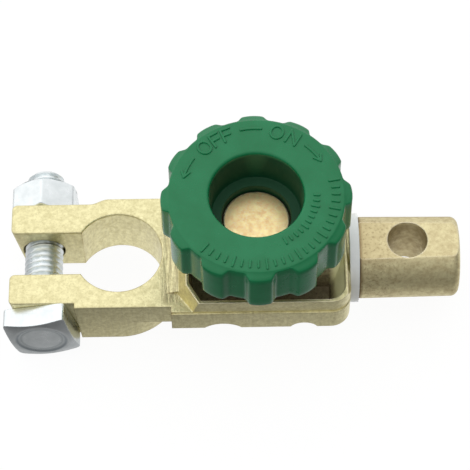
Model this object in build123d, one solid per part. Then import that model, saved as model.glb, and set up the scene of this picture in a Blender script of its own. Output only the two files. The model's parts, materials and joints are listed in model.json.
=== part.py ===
"""Battery terminal disconnect switch.

A brass casting clamps the battery post at one end and carries a switch tray at the other.
A green knob turns a brass contact screw in the tray's threaded collar. Screwed down, the screw
presses its contact pad on the cable terminal, which nylon bushes hold apart from the casting.

Millimetres. The battery post's axis is Z, and the casting's underside is z = 0. The cable
terminal points to +X, the clamp's slot opens to -X, and the clamp bolt's head is at -Y.
"""

import os
from math import cos, radians, sin, sqrt, tan

from build123d import *

# Post clamp
POST_BORE_R = 9.0
CLAMP_HEIGHT = 13.1
RING_WALL = 3.84
SLOT_WIDTH = 9.54
EAR_THICKNESS = 6.9
EAR_END_MARGIN = 6.4
EAR_END_DRAFT = 2.0
EAR_CORNER_R = 1.1
EAR_FLAT_MARGIN = 9.6
EAR_BLEND_LENGTH = 4.2
SHOULDER_GAP = 0.25
SHOULDER_DRAFT = 0.95
CAST_EDGE_R = 0.35

# Plate and plinth between the clamp and the tray
PLATE_THICKNESS = 6.5
PLINTH_LEFT_X = 10.9
PLINTH_LENGTH = 36.6
PLINTH_HALF_WIDTH = 14.1
PLINTH_CORNER_R = 4.0
PLINTH_LEDGE = 0.3
PLINTH_LEDGE_DROP = 0.5
SKIRT_WALL = 2.5
NOTCH_DEPTH = 1.7
NOTCH_PLACES = ((10.5, 5.0), (27.1, 3.0))

# Switch tray: its foot is on the clamp's top plane
TRAY_WALL_HEIGHT = 3.7
TRAY_FLOOR_DROP = 2.6
TRAY_FLOOR_THICKNESS = 1.9
TRAY_RIM = 0.6
TRAY_RIGHT_RIM = 1.2
TRAY_RIGHT_BEVEL = 0.7
TRAY_RIGHT_BEVEL_DROP = 1.6
TRAY_FOOT_INSET = 1.1
TRAY_LEFT_SLOPE = 2.0
TRAY_CORNER_WIDTH = 4.4
TRAY_CORNER_FOOT_RUN = 3.4
TRAY_CORNER_RIM_RUN = 2.6
TRAY_INNER_DRAFT = 0.5
TRAY_RIGHT_SLOPE = 3.0
RAMP_HEIGHT = 0.8
RAMP_REACH = 0.9

# Contact screw, and its collar in the tray
SCREW_SETBACK = 19.08
THREAD_R = 6.51
THREAD_CLEARANCE = 0.07
THREAD_RELIEF = 0.7
COLLAR_WALL = 3.49
COLLAR_TOP_CHAMFER = 0.8
SCREW_FACE_RIM = 0.19
SCREW_FACE_CHAMFER = 0.3
SCREW_FACE_LIFT = 0.66
SCREW_FACE_GAP = 0.3
SCREW_HEX_RIM = 1.24
SCREW_HEX_THICKNESS = 2.5
SCREW_END_GAP = 0.3

# Knob: its radii are worked outwards from the screw's face
KNOB_RIM_GAP = 8.1
KNOB_HEIGHT = 11.2
SHELF_WIDTH = 2.04
WELL_DRAFT = 0.56
KNOB_HUB_WALL = 2.8
KNOB_HOLLOW_WIDTH = 2.2
KNOB_WALL = 3.0
LOBE_DEPTH = 1.4
KNOB_TOP_FALL = 0.7
KNOB_TOP_THICKNESS = 3.2
KNOB_BASE_CHAMFER = 0.4
KNOB_RIB_COUNT = 6
KNOB_RIB_WIDTH = 1.4
LOBE_COUNT = 12
LOBE_PHASE = 1.5
LOBE_CREST_ANGLE = 14.0
LOBE_FOOT_ANGLE = 21.0
LOBE_EDGE_R = 0.8
WELL_LIP_R = 0.8
WELL_DEPTH = 8.64
BOSS_DROP = 2.3
BOSS_OVERHANG = 0.6
BOSS_GAP = 0.4

# Cable terminal: the bush, the cup and their housing share its axis
TERMINAL_Z = 9.32
BARREL_R = 8.45
BARREL_END_TAPER = 0.25
BARREL_LENGTH = 20.7
BARREL_FLAT_DEPTH = 1.2
BARREL_START_ROUND = 0.5
BARREL_END_ROUND = 1.6
CABLE_HOLE_R = 4.1
CABLE_HOLE_SETBACK = 10.7
SHANK_R = 4.5
SHANK_TIP_GAP = 0.1
SEAT_RISE = 3.0
SEAT_HALF_LENGTH = 5.5

# Nylon bush and inner cup
BUSH_WALL = 1.5
BUSH_FLANGE_RIM = 3.2
BUSH_FLANGE_THICKNESS = 1.9
BUSH_SEAT_GAP = 0.58
CUP_REACH = 8.02
CUP_END_WALL = 1.5
CUP_WINDOW_GAP = 0.6
CUP_WINDOW_RELIEF = 0.5
BUSH_FIT = 0.03

# Housing of the bush and cup, across the tray's floor and under it
HOUSING_WALL = 1.4
HOUSING_RIDGE_DROP = 0.3
HOUSING_SIDE_WALL = 2.0
HOUSING_FOOT_R = 5.0
HOUSING_END_WALL = 2.4

# Contact pad on the screw's tip
PAD_R = 4.4
PAD_THICKNESS = 2.35
PAD_CHAMFER = 0.2
PAD_DOG_INSET = 0.2
PAD_RIVET_R = 2.6
PAD_RIVET_THICKNESS = 0.45
PAD_SPIGOT_R = 1.6
PAD_FIT = 0.05

# Nylon locating screw under the bush
LOCATOR_R = 2.0
LOCATOR_DOG_R = 1.6
LOCATOR_DOG_DEPTH = 2.4
LOCATOR_DOG_GAP = 0.12
LOCATOR_SHOULDER_GAP = 0.06
LOCATOR_SETBACK = 9.5
LOCATOR_SINK = 0.3
LOCATOR_SLOT_WIDTH = 0.8
LOCATOR_SLOT_DEPTH = 0.9

# Clamp bolt and nut
BOLT_R = 4.0
BOLT_X = -15.9
BOLT_Z = 5.8
BOLT_HOLE_CLEARANCE = 0.4
BOLT_TIP_REACH = 10.6
BOLT_TIP_CHAMFER = 0.8
HEAD_SQUARE = 13.0
HEAD_THICKNESS = 4.7
HEAD_EDGE_R = 0.9
HEAD_TURN = 12.0
HEAD_FACE_INSET = 0.6
HEAD_CHAMFER_ANGLE = 17.0
HEAD_DISH_RIM = 0.9
HEAD_DISH_DEPTH = 0.25
NUT_FLATS = 13.0
NUT_THICKNESS = 6.8
NUT_TURN = 36.0
NUT_FACE_INSET = 0.1
NUT_CHAMFER_ANGLE = 30.0
NUT_FIT = 0.05

# Cutting solids run this far past the surface, and places this close together count as one
OVERRUN = 1.0
TOLERANCE = 0.01

# Clamp places worked out from the sizes above
RING_HALF_WIDTH = POST_BORE_R + RING_WALL
EAR_OUTER_Y = SLOT_WIDTH / 2 + EAR_THICKNESS
EAR_END_X = BOLT_X - EAR_END_MARGIN
EAR_FLAT_END_X = BOLT_X + EAR_FLAT_MARGIN
EAR_BLEND_END_X = EAR_FLAT_END_X + EAR_BLEND_LENGTH
HEAD_CORNER_REACH = (HEAD_SQUARE / 2 - HEAD_EDGE_R) * sqrt(2)
HEAD_CORNER_X = BOLT_X + HEAD_CORNER_REACH * cos(radians(45 - HEAD_TURN)) + HEAD_EDGE_R
HEAD_CORNER_Z = BOLT_Z - HEAD_CORNER_REACH * sin(radians(45 - HEAD_TURN))
SHOULDER_FOOT_X = HEAD_CORNER_X + SHOULDER_GAP + SHOULDER_DRAFT * HEAD_CORNER_Z / CLAMP_HEIGHT
SHOULDER_TOP_X = SHOULDER_FOOT_X - SHOULDER_DRAFT

# Tray places
PLATE_Z = CLAMP_HEIGHT - PLATE_THICKNESS
PLINTH_RIGHT_X = PLINTH_LEFT_X + PLINTH_LENGTH
TRAY_FOOT_X = PLINTH_LEFT_X + TRAY_FOOT_INSET
TRAY_RIM_X = TRAY_FOOT_X + TRAY_LEFT_SLOPE
TRAY_RIM_Z = CLAMP_HEIGHT + TRAY_WALL_HEIGHT
TRAY_FLOOR_Z = CLAMP_HEIGHT - TRAY_FLOOR_DROP
SCREW_X = PLINTH_RIGHT_X - SCREW_SETBACK
LOCATOR_X = PLINTH_RIGHT_X - LOCATOR_SETBACK

# Cable terminal and what lies round its shank
BUSH_R = SHANK_R + BUSH_WALL
BUSH_BORE_R = BUSH_R + BUSH_FIT
SHANK_BORE_R = SHANK_R + BUSH_FIT
BARREL_X = PLINTH_RIGHT_X + BUSH_FLANGE_THICKNESS
CABLE_HOLE_X = BARREL_X + BARREL_LENGTH - CABLE_HOLE_SETBACK
SEAT_END_X = SCREW_X + SEAT_HALF_LENGTH
BUSH_INNER_X = SEAT_END_X + BUSH_SEAT_GAP
CUP_END_X = SCREW_X - CUP_REACH
CUP_WINDOW_R = PAD_R + CUP_WINDOW_GAP
SHANK_TIP_X = CUP_END_X + CUP_END_WALL + SHANK_TIP_GAP
SEAT_Z = TERMINAL_Z + SEAT_RISE

# Contact screw and knob, from the contact seat up
PAD_TOP_Z = SEAT_Z + PAD_THICKNESS
DOG_Z = PAD_TOP_Z + PAD_FIT
SCREW_END_Z = TERMINAL_Z + BUSH_R + SCREW_END_GAP
THREAD_HOLE_Z = SCREW_END_Z - THREAD_RELIEF
THREAD_HOLE_R = THREAD_R + THREAD_CLEARANCE
COLLAR_R = THREAD_R + COLLAR_WALL
KNOB_BASE_Z = TRAY_RIM_Z + KNOB_RIM_GAP
KNOB_TOP_Z = KNOB_BASE_Z + KNOB_HEIGHT
BOSS_Z = KNOB_BASE_Z - BOSS_DROP
BOSS_R = COLLAR_R + BOSS_OVERHANG
COLLAR_TOP_Z = BOSS_Z - BOSS_GAP
SCREW_SHOULDER_Z = BOSS_Z + SCREW_HEX_THICKNESS
SCREW_FACE_Z = SCREW_SHOULDER_Z + SCREW_FACE_LIFT
SCREW_FACE_R = THREAD_R + SCREW_FACE_RIM
SHELF_HOLE_R = SCREW_FACE_R + SCREW_FACE_GAP
SHELF_Z = KNOB_TOP_Z - WELL_DEPTH
WELL_FLOOR_R = SHELF_HOLE_R + SHELF_WIDTH
WELL_RIM_R = WELL_FLOOR_R + WELL_DRAFT
KNOB_HUB_R = WELL_RIM_R + KNOB_HUB_WALL
KNOB_HOLLOW_R = KNOB_HUB_R + KNOB_HOLLOW_WIDTH
KNOB_BODY_R = KNOB_HOLLOW_R + KNOB_WALL
KNOB_LOBE_R = KNOB_BODY_R + LOBE_DEPTH


def box(x0, x1, y0, y1, z0, z1):
    """A block between two corners."""
    size = (x1 - x0, y1 - y0, z1 - z0)
    return Pos((x0 + x1) / 2, (y0 + y1) / 2, (z0 + z1) / 2) * Box(*size)


def upright(x, y, radius, z0, z1):
    """A cylinder about a vertical axis."""
    return Pos(x, y, (z0 + z1) / 2) * Cylinder(radius, z1 - z0)


def along_x(radius, x0, x1, end_radius=None):
    """A cylinder or cone about the cable terminal's axis, from x0 to x1."""
    plane = Plane(origin=(x0, 0, TERMINAL_Z), x_dir=(0, 1, 0), z_dir=(1, 0, 0))
    end = radius if end_radius is None else end_radius
    if end == radius:
        return plane * (Pos(0, 0, (x1 - x0) / 2) * Cylinder(radius, x1 - x0))
    return plane * (Pos(0, 0, (x1 - x0) / 2) * Cone(radius, end, x1 - x0))


def turned(points):
    """A solid turned about Z from half its section, given as (radius, height) points."""
    return revolve(Plane.XZ * make_face(Polyline(*points, close=True)), Axis.Z)


def prism(points, half_width):
    """A prism across the part, given as (x, z) points of its section."""
    return extrude(Plane.XZ * make_face(Polyline(*points, close=True)), half_width, both=True)


def polar(radius, angle):
    """A point of the XY plane by its radius and its angle in degrees."""
    return (radius * cos(radians(angle)), radius * sin(radians(angle)))


def ear(side):
    """One ear of the clamp: a bar whose end leans in towards its underside."""
    profile = Polyline((EAR_END_X, CLAMP_HEIGHT), (0, CLAMP_HEIGHT), (0, 0),
                       (EAR_END_X + EAR_END_DRAFT, 0), close=True)
    bar = extrude(Plane.XZ * make_face(profile), -EAR_THICKNESS)
    end_edges = bar.faces().sort_by(Axis.X)[0].edges()
    bar = fillet(end_edges.filter_by(Axis.Y, reverse=True), EAR_CORNER_R)
    return Pos(0, SLOT_WIDTH / 2 if side > 0 else -EAR_OUTER_Y, 0) * bar


def clamp_ring():
    """The ring about the post, with a smooth rear cheek and the front shoulder that stops the bolt head."""
    blend_start = (EAR_FLAT_END_X, EAR_OUTER_Y)
    blend_end = (EAR_BLEND_END_X, RING_HALF_WIDTH)
    ring = extrude(make_face([
        Line((0, -RING_HALF_WIDTH), (SHOULDER_TOP_X, -RING_HALF_WIDTH)),
        Line((SHOULDER_TOP_X, -RING_HALF_WIDTH), (SHOULDER_TOP_X, EAR_OUTER_Y)),
        Line((SHOULDER_TOP_X, EAR_OUTER_Y), blend_start),
        Spline(blend_start, blend_end, tangents=[(1, 0), (1, 0)]),
        Line(blend_end, (0, RING_HALF_WIDTH)),
        CenterArc((0, 0), RING_HALF_WIDTH, -90, 180),
    ]), CLAMP_HEIGHT)
    lean = make_face(Polyline((SHOULDER_TOP_X, CLAMP_HEIGHT), (SHOULDER_TOP_X, 0), (SHOULDER_FOOT_X, 0),
                              close=True))
    step = RING_HALF_WIDTH - EAR_OUTER_Y
    return ring - Pos(0, -EAR_OUTER_Y, 0) * extrude(Plane.XZ * lean, step)


def tray_outline(left_x, half_width, right_x, corner_r, corner_y, corner_run):
    """The tray's plan: a rectangle with its left corners cut off and its right ones rounded.

    The cut runs corner_run along X for each TRAY_CORNER_WIDTH across.
    """
    arc_x = right_x - corner_r
    arc_y = half_width - corner_r
    corner_x = left_x + (half_width - corner_y) * corner_run / TRAY_CORNER_WIDTH
    return make_face([
        Line((left_x, corner_y), (left_x, -corner_y)),
        Line((left_x, -corner_y), (corner_x, -half_width)),
        Line((corner_x, -half_width), (arc_x, -half_width)),
        CenterArc((arc_x, -arc_y), corner_r, -90, 90),
        Line((right_x, -arc_y), (right_x, arc_y)),
        CenterArc((arc_x, arc_y), corner_r, 0, 90),
        Line((arc_x, half_width), (corner_x, half_width)),
        Line((corner_x, half_width), (left_x, corner_y)),
    ])


def tray_block():
    """The tray's outer form: walls with a sloping left side, a ramp before it and a bevel on the right."""
    corner_y = PLINTH_HALF_WIDTH - TRAY_CORNER_WIDTH
    foot = tray_outline(TRAY_FOOT_X, PLINTH_HALF_WIDTH, PLINTH_RIGHT_X, PLINTH_CORNER_R, corner_y,
                        TRAY_CORNER_FOOT_RUN)
    rim = tray_outline(TRAY_RIM_X, PLINTH_HALF_WIDTH, PLINTH_RIGHT_X, PLINTH_CORNER_R, corner_y,
                       TRAY_CORNER_RIM_RUN)
    block = loft([Pos(0, 0, CLAMP_HEIGHT) * foot, Pos(0, 0, TRAY_RIM_Z) * rim], ruled=True)
    ramp_top_x = TRAY_FOOT_X + TRAY_LEFT_SLOPE * RAMP_HEIGHT / TRAY_WALL_HEIGHT
    block += prism([(PLINTH_LEFT_X - RAMP_REACH, CLAMP_HEIGHT), (ramp_top_x, CLAMP_HEIGHT),
                    (ramp_top_x, CLAMP_HEIGHT + RAMP_HEIGHT)], corner_y)
    return block - prism([(PLINTH_RIGHT_X - TRAY_RIGHT_BEVEL, TRAY_RIM_Z), (PLINTH_RIGHT_X, TRAY_RIM_Z),
                          (PLINTH_RIGHT_X, TRAY_RIM_Z - TRAY_RIGHT_BEVEL_DROP)], PLINTH_HALF_WIDTH)


def tray_hollow():
    """The room inside the tray, with drafted walls and a long slope on the right."""
    rim_left = TRAY_RIM_X + TRAY_RIM
    rim_right = PLINTH_RIGHT_X - TRAY_RIGHT_RIM
    rim_half = PLINTH_HALF_WIDTH - TRAY_RIM
    corner_y = PLINTH_HALF_WIDTH - TRAY_CORNER_WIDTH - TRAY_RIM / 2
    corner_r = PLINTH_CORNER_R - TRAY_RIM
    floor = tray_outline(rim_left + TRAY_INNER_DRAFT, rim_half - TRAY_INNER_DRAFT,
                         rim_right - TRAY_RIGHT_SLOPE, corner_r, corner_y - TRAY_INNER_DRAFT / 2,
                         TRAY_CORNER_RIM_RUN)
    rim = tray_outline(rim_left, rim_half, rim_right, corner_r, corner_y, TRAY_CORNER_RIM_RUN)
    return loft([Pos(0, 0, TRAY_FLOOR_Z) * floor, Pos(0, 0, TRAY_RIM_Z) * rim], ruled=True)


def plinth_layer(half_width, thickness):
    """A layer of the plinth, from its underside up, with its right corners rounded."""
    middle_x = (PLINTH_LEFT_X + PLINTH_RIGHT_X) / 2
    outline = Pos(middle_x, 0, PLATE_Z) * Rectangle(PLINTH_LENGTH, 2 * half_width)
    return extrude(fillet(outline.vertices().group_by(Axis.X)[-1], PLINTH_CORNER_R), thickness)


def plinth():
    """The slab under the tray, with a narrow ledge, hollowed below, with a scalloped lower edge."""
    slab = plinth_layer(PLINTH_HALF_WIDTH, PLATE_THICKNESS)
    slab += plinth_layer(PLINTH_HALF_WIDTH + PLINTH_LEDGE, PLATE_THICKNESS - PLINTH_LEDGE_DROP)
    pocket = box(PLINTH_LEFT_X + SKIRT_WALL, PLINTH_RIGHT_X - SKIRT_WALL,
                 -PLINTH_HALF_WIDTH + SKIRT_WALL, PLINTH_HALF_WIDTH - SKIRT_WALL,
                 PLATE_Z, TRAY_FLOOR_Z - TRAY_FLOOR_THICKNESS)
    slab -= fillet(pocket.edges().filter_by(Axis.Z), PLINTH_CORNER_R - SKIRT_WALL)
    for place, radius in NOTCH_PLACES:
        centre = (PLINTH_LEFT_X + place, 0, PLATE_Z + NOTCH_DEPTH - radius)
        slab -= Pos(*centre) * Rot(90, 0, 0) * Cylinder(radius, 2 * (PLINTH_HALF_WIDTH + OVERRUN))
    return slab


def terminal_housing():
    """The casting's long boss round the bush and cup: a ridge in the tray, a round-footed block below."""
    start_x = CUP_END_X - HOUSING_END_WALL
    ridge_r = BUSH_R + HOUSING_WALL
    half_width = BUSH_R + HOUSING_SIDE_WALL
    ridge = along_x(ridge_r, start_x, PLINTH_RIGHT_X)
    ridge_top_z = TRAY_RIM_Z - HOUSING_RIDGE_DROP
    ridge -= box(start_x, PLINTH_RIGHT_X, -ridge_r, ridge_r, ridge_top_z, ridge_top_z + ridge_r)
    foot = box(start_x, PLINTH_RIGHT_X, -half_width, half_width, 0, TRAY_FLOOR_Z)
    foot = fillet(foot.edges().filter_by(Axis.X).group_by(Axis.Z)[0], HOUSING_FOOT_R)
    return ridge + foot


def clamp_body():
    """The brass casting: post clamp, plate, plinth, tray, threaded collar and terminal housing."""
    clamp = clamp_ring() + ear(1) + ear(-1)
    clamp += box(0, PLINTH_LEFT_X, -RING_HALF_WIDTH, RING_HALF_WIDTH, PLATE_Z, CLAMP_HEIGHT)
    clamp -= box(EAR_END_X, 0, -SLOT_WIDTH / 2, SLOT_WIDTH / 2, 0, CLAMP_HEIGHT)
    clamp -= upright(0, 0, POST_BORE_R, 0, CLAMP_HEIGHT)
    rim = clamp.faces().sort_by(Axis.Z)[-1].outer_wire().edges()
    clamp = fillet(rim.filter_by(lambda edge: edge.center().X < PLINTH_LEFT_X - TOLERANCE), CAST_EDGE_R)
    body = clamp + plinth() + tray_block()
    body -= tray_hollow()
    collar = upright(SCREW_X, 0, COLLAR_R, TRAY_FLOOR_Z - OVERRUN, COLLAR_TOP_Z)
    body += chamfer(collar.faces().sort_by(Axis.Z)[-1].edges(), COLLAR_TOP_CHAMFER)
    body += terminal_housing()
    body -= along_x(BUSH_BORE_R, CUP_END_X - BUSH_FIT, PLINTH_RIGHT_X)
    body -= upright(SCREW_X, 0, THREAD_HOLE_R, THREAD_HOLE_Z, COLLAR_TOP_Z)
    body -= upright(SCREW_X, 0, CUP_WINDOW_R, SEAT_Z - CUP_WINDOW_RELIEF, THREAD_HOLE_Z)
    body -= upright(LOCATOR_X, 0, LOCATOR_R + BUSH_FIT, 0, TERMINAL_Z - SHANK_R)
    bolt_hole = Cylinder(BOLT_R + BOLT_HOLE_CLEARANCE, 2 * EAR_OUTER_Y)
    return body - Pos(BOLT_X, 0, BOLT_Z) * Rot(90, 0, 0) * bolt_hole


def fastener_plane():
    """The clamp bolt's plane: local z runs from the tip to the head, and local y is up."""
    return Plane(origin=(BOLT_X, 0, BOLT_Z), x_dir=(1, 0, 0), z_dir=(0, -1, 0))


def chamfered_prism(outline, thickness, face_r, corner_r, angle, both_ends):
    """A prism whose corners are turned off by a cone at its far end, or at both ends."""
    fall = (corner_r - face_r) * tan(radians(angle))
    near_end = [(face_r, 0), (corner_r, fall)] if both_ends else [(corner_r, 0)]
    far_end = [(corner_r, thickness - fall), (face_r, thickness)]
    return extrude(outline, thickness) & turned([(0, 0), *near_end, *far_end, (0, thickness)])


def clamp_bolt():
    """Square-headed M8 bolt through both ears. Its thread is drawn at the outside diameter."""
    face_r = HEAD_SQUARE / 2 - HEAD_FACE_INSET
    outline = RectangleRounded(HEAD_SQUARE, HEAD_SQUARE, HEAD_EDGE_R, rotation=HEAD_TURN)
    head = chamfered_prism(outline, HEAD_THICKNESS, face_r, HEAD_SQUARE / sqrt(2),
                           HEAD_CHAMFER_ANGLE, False)
    head -= upright(0, 0, face_r - HEAD_DISH_RIM, HEAD_THICKNESS - HEAD_DISH_DEPTH, HEAD_THICKNESS)
    tip_z = -EAR_OUTER_Y - BOLT_TIP_REACH
    shank = turned([(0, tip_z), (BOLT_R - BOLT_TIP_CHAMFER, tip_z), (BOLT_R, tip_z + BOLT_TIP_CHAMFER),
                    (BOLT_R, EAR_OUTER_Y), (0, EAR_OUTER_Y)])
    return fastener_plane() * (shank + Pos(0, 0, EAR_OUTER_Y) * head)


def clamp_nut():
    """Hexagon nut drawn up against the rear ear."""
    inner_r = NUT_FLATS / 2
    outline = RegularPolygon(inner_r, 6, major_radius=False, rotation=NUT_TURN)
    nut = chamfered_prism(outline, NUT_THICKNESS, inner_r - NUT_FACE_INSET,
                          NUT_FLATS / sqrt(3) + TOLERANCE, NUT_CHAMFER_ANGLE, True)
    nut -= upright(0, 0, BOLT_R + NUT_FIT, 0, NUT_THICKNESS)
    return fastener_plane() * (Pos(0, 0, -EAR_OUTER_Y - NUT_THICKNESS) * nut)


def knob_outline():
    """Plan of the grip: broad lobes with sloping flanks on a round body."""
    pitch = 360 / LOBE_COUNT
    edges = []
    for index in range(LOBE_COUNT):
        middle = LOBE_PHASE + index * pitch
        foot, crest = LOBE_FOOT_ANGLE / 2, LOBE_CREST_ANGLE / 2
        edges.append(Line(polar(KNOB_BODY_R, middle - foot), polar(KNOB_LOBE_R, middle - crest)))
        edges.append(CenterArc((0, 0), KNOB_LOBE_R, middle - crest, LOBE_CREST_ANGLE))
        edges.append(Line(polar(KNOB_LOBE_R, middle + crest), polar(KNOB_BODY_R, middle + foot)))
        edges.append(CenterArc((0, 0), KNOB_BODY_R, middle + foot, pitch - LOBE_FOOT_ANGLE))
    outline = make_face(edges)
    return fillet(outline.vertices(), LOBE_EDGE_R)


def knob_underside():
    """The ring-shaped hollow between the hub and the grip's wall, crossed by ribs."""
    depth = KNOB_HEIGHT - KNOB_TOP_THICKNESS
    hollow = upright(0, 0, KNOB_HOLLOW_R, 0, depth) - upright(0, 0, KNOB_HUB_R, 0, depth)
    for rib in PolarLocations((KNOB_HOLLOW_R + KNOB_HUB_R) / 2, KNOB_RIB_COUNT):
        rib_length = KNOB_HOLLOW_WIDTH + 2 * OVERRUN
        hollow -= rib * (Pos(0, 0, depth / 2) * Box(rib_length, KNOB_RIB_WIDTH, depth))
    return hollow


def knob():
    """Green moulded knob: lobed grip, deep well with a shelf, hollow underside, hub round the screw."""
    top_z, fall = KNOB_HEIGHT, KNOB_TOP_FALL
    profile = [(0, 0), (KNOB_LOBE_R - KNOB_BASE_CHAMFER, 0), (KNOB_LOBE_R, KNOB_BASE_CHAMFER),
               (KNOB_LOBE_R, top_z - fall), (KNOB_BODY_R, top_z), (0, top_z)]
    grip = extrude(knob_outline(), KNOB_HEIGHT) & turned(profile)
    grip -= knob_underside()
    grip += upright(0, 0, BOSS_R, BOSS_Z - KNOB_BASE_Z, 0)
    floor_z = top_z - WELL_DEPTH
    grip -= turned([(0, floor_z), (WELL_FLOOR_R, floor_z), (WELL_RIM_R, top_z), (0, top_z)])
    rings = grip.edges().filter_by(GeomType.CIRCLE)
    grip = fillet(rings.filter_by(lambda ring: abs(ring.radius - WELL_RIM_R) < TOLERANCE), WELL_LIP_R)
    grip -= upright(0, 0, SHELF_HOLE_R, SCREW_SHOULDER_Z - KNOB_BASE_Z, SHELF_Z - KNOB_BASE_Z)
    grip -= Pos(0, 0, BOSS_Z - KNOB_BASE_Z) * hex_flange(BUSH_FIT)
    return Pos(SCREW_X, 0, KNOB_BASE_Z) * grip


def hex_flange(clearance):
    """The hexagon by which the knob turns the screw."""
    inner_r = THREAD_R + SCREW_HEX_RIM + clearance
    return extrude(RegularPolygon(inner_r, 6, major_radius=False), SCREW_HEX_THICKNESS)


def contact_screw():
    """Brass screw moulded into the knob: bright face, hexagon, thread, dog and riveted spigot."""
    rivet_z = SEAT_Z + PAD_RIVET_THICKNESS
    chamfer_r = SCREW_FACE_R - SCREW_FACE_CHAMFER
    dog_r = PAD_R - PAD_DOG_INSET
    body = turned([
        (0, rivet_z), (PAD_RIVET_R, rivet_z), (PAD_RIVET_R, rivet_z + PAD_RIVET_THICKNESS),
        (PAD_SPIGOT_R, rivet_z + PAD_RIVET_THICKNESS), (PAD_SPIGOT_R, DOG_Z), (dog_r, DOG_Z),
        (dog_r, SCREW_END_Z), (THREAD_R, SCREW_END_Z), (THREAD_R, SCREW_SHOULDER_Z),
        (SCREW_FACE_R, SCREW_SHOULDER_Z), (SCREW_FACE_R, SCREW_FACE_Z - SCREW_FACE_CHAMFER),
        (chamfer_r, SCREW_FACE_Z), (0, SCREW_FACE_Z),
    ])
    return Pos(SCREW_X, 0, 0) * (body + Pos(0, 0, BOSS_Z) * hex_flange(0))


def contact_pad():
    """Silvered contact pad, free to swivel on the screw's riveted tip."""
    pad = upright(0, 0, PAD_R, SEAT_Z, PAD_TOP_Z)
    pad = chamfer(pad.faces().sort_by(Axis.Z)[0].edges(), PAD_CHAMFER)
    counterbore_z = SEAT_Z + 2 * PAD_RIVET_THICKNESS + PAD_FIT
    pad -= upright(0, 0, PAD_RIVET_R + PAD_FIT, SEAT_Z, counterbore_z)
    pad -= upright(0, 0, PAD_SPIGOT_R + PAD_FIT, counterbore_z, PAD_TOP_Z)
    return Pos(SCREW_X, 0, 0) * pad


def cable_terminal():
    """Brass terminal: flattened barrel with the cable bolt's hole, and a shank with the contact seat."""
    end_x = BARREL_X + BARREL_LENGTH
    barrel = along_x(BARREL_R, BARREL_X, end_x, BARREL_R - BARREL_END_TAPER)
    barrel = fillet(barrel.faces().sort_by(Axis.X)[-1].edges(), BARREL_END_ROUND)
    barrel = fillet(barrel.faces().sort_by(Axis.X)[0].edges(), BARREL_START_ROUND)
    flat_half = BARREL_R - BARREL_FLAT_DEPTH
    barrel &= box(BARREL_X, end_x, -BARREL_R, BARREL_R, TERMINAL_Z - flat_half, TERMINAL_Z + flat_half)
    barrel -= upright(CABLE_HOLE_X, 0, CABLE_HOLE_R, TERMINAL_Z - BARREL_R, TERMINAL_Z + BARREL_R)
    shank = along_x(SHANK_R, SHANK_TIP_X, BARREL_X)
    shank -= box(SHANK_TIP_X, SEAT_END_X, -SHANK_R, SHANK_R, SEAT_Z, SEAT_Z + SHANK_R)
    shank -= upright(LOCATOR_X, 0, LOCATOR_DOG_R + BUSH_FIT, TERMINAL_Z - SHANK_R - OVERRUN,
                     TERMINAL_Z - SHANK_R + LOCATOR_DOG_DEPTH)
    return barrel + shank


def insulating_bush():
    """Flanged nylon bush through the casting's right wall."""
    bush = along_x(BUSH_R, BUSH_INNER_X, PLINTH_RIGHT_X)
    bush += along_x(BUSH_R + BUSH_FLANGE_RIM, PLINTH_RIGHT_X, BARREL_X)
    bush -= along_x(SHANK_BORE_R, BUSH_INNER_X, BARREL_X)
    return bush - upright(LOCATOR_X, 0, LOCATOR_R + BUSH_FIT, TERMINAL_Z - BUSH_R - OVERRUN, TERMINAL_Z)


def insulating_cup():
    """Nylon cup round the shank's inner end, with a window for the contact pad."""
    cup = along_x(BUSH_R, CUP_END_X, BUSH_INNER_X)
    cup -= along_x(SHANK_BORE_R, CUP_END_X + CUP_END_WALL, BUSH_INNER_X)
    return cup - upright(SCREW_X, 0, CUP_WINDOW_R, SEAT_Z - CUP_WINDOW_RELIEF, TERMINAL_Z + BUSH_R)


def locating_screw():
    """Slotted nylon screw from below, whose dog keeps the terminal from turning or pulling out."""
    shoulder_z = TERMINAL_Z - SHANK_R - LOCATOR_SHOULDER_GAP
    tip_z = TERMINAL_Z - SHANK_R + LOCATOR_DOG_DEPTH - LOCATOR_DOG_GAP
    screw = upright(0, 0, LOCATOR_R, LOCATOR_SINK, shoulder_z)
    screw += upright(0, 0, LOCATOR_DOG_R, shoulder_z, tip_z)
    slot = box(-LOCATOR_R, LOCATOR_R, -LOCATOR_SLOT_WIDTH / 2, LOCATOR_SLOT_WIDTH / 2,
               LOCATOR_SINK, LOCATOR_SINK + LOCATOR_SLOT_DEPTH)
    return Pos(LOCATOR_X, 0, 0) * (screw - slot)


PIECES = {
    "clamp_body": clamp_body,
    "clamp_bolt": clamp_bolt,
    "clamp_nut": clamp_nut,
    "knob": knob,
    "contact_screw": contact_screw,
    "contact_pad": contact_pad,
    "cable_terminal": cable_terminal,
    "insulating_bush": insulating_bush,
    "insulating_cup": insulating_cup,
    "locating_screw": locating_screw,
}

if __name__ == "__main__":
    os.makedirs("parts", exist_ok=True)
    for name, make in PIECES.items():
        export_step(make(), f"parts/{name}.step")
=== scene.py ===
"""Looks of a battery terminal disconnect switch, dressed on the solids of its frame.

Everything is in metres in the frame's own axes: the battery post's axis is Z, the cable terminal
points to +X and the clamp bolt's head is at -Y. The solids keep their place and shape. The knob,
the contact screw and the clamp's fasteners get finer surfaces of the same form, and every surface
gets a procedural finish.
"""

import json
from math import cos, pi, radians, sin, tan, tau

import bmesh
import bpy
import numpy as np
from mathutils import Matrix, Vector


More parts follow.
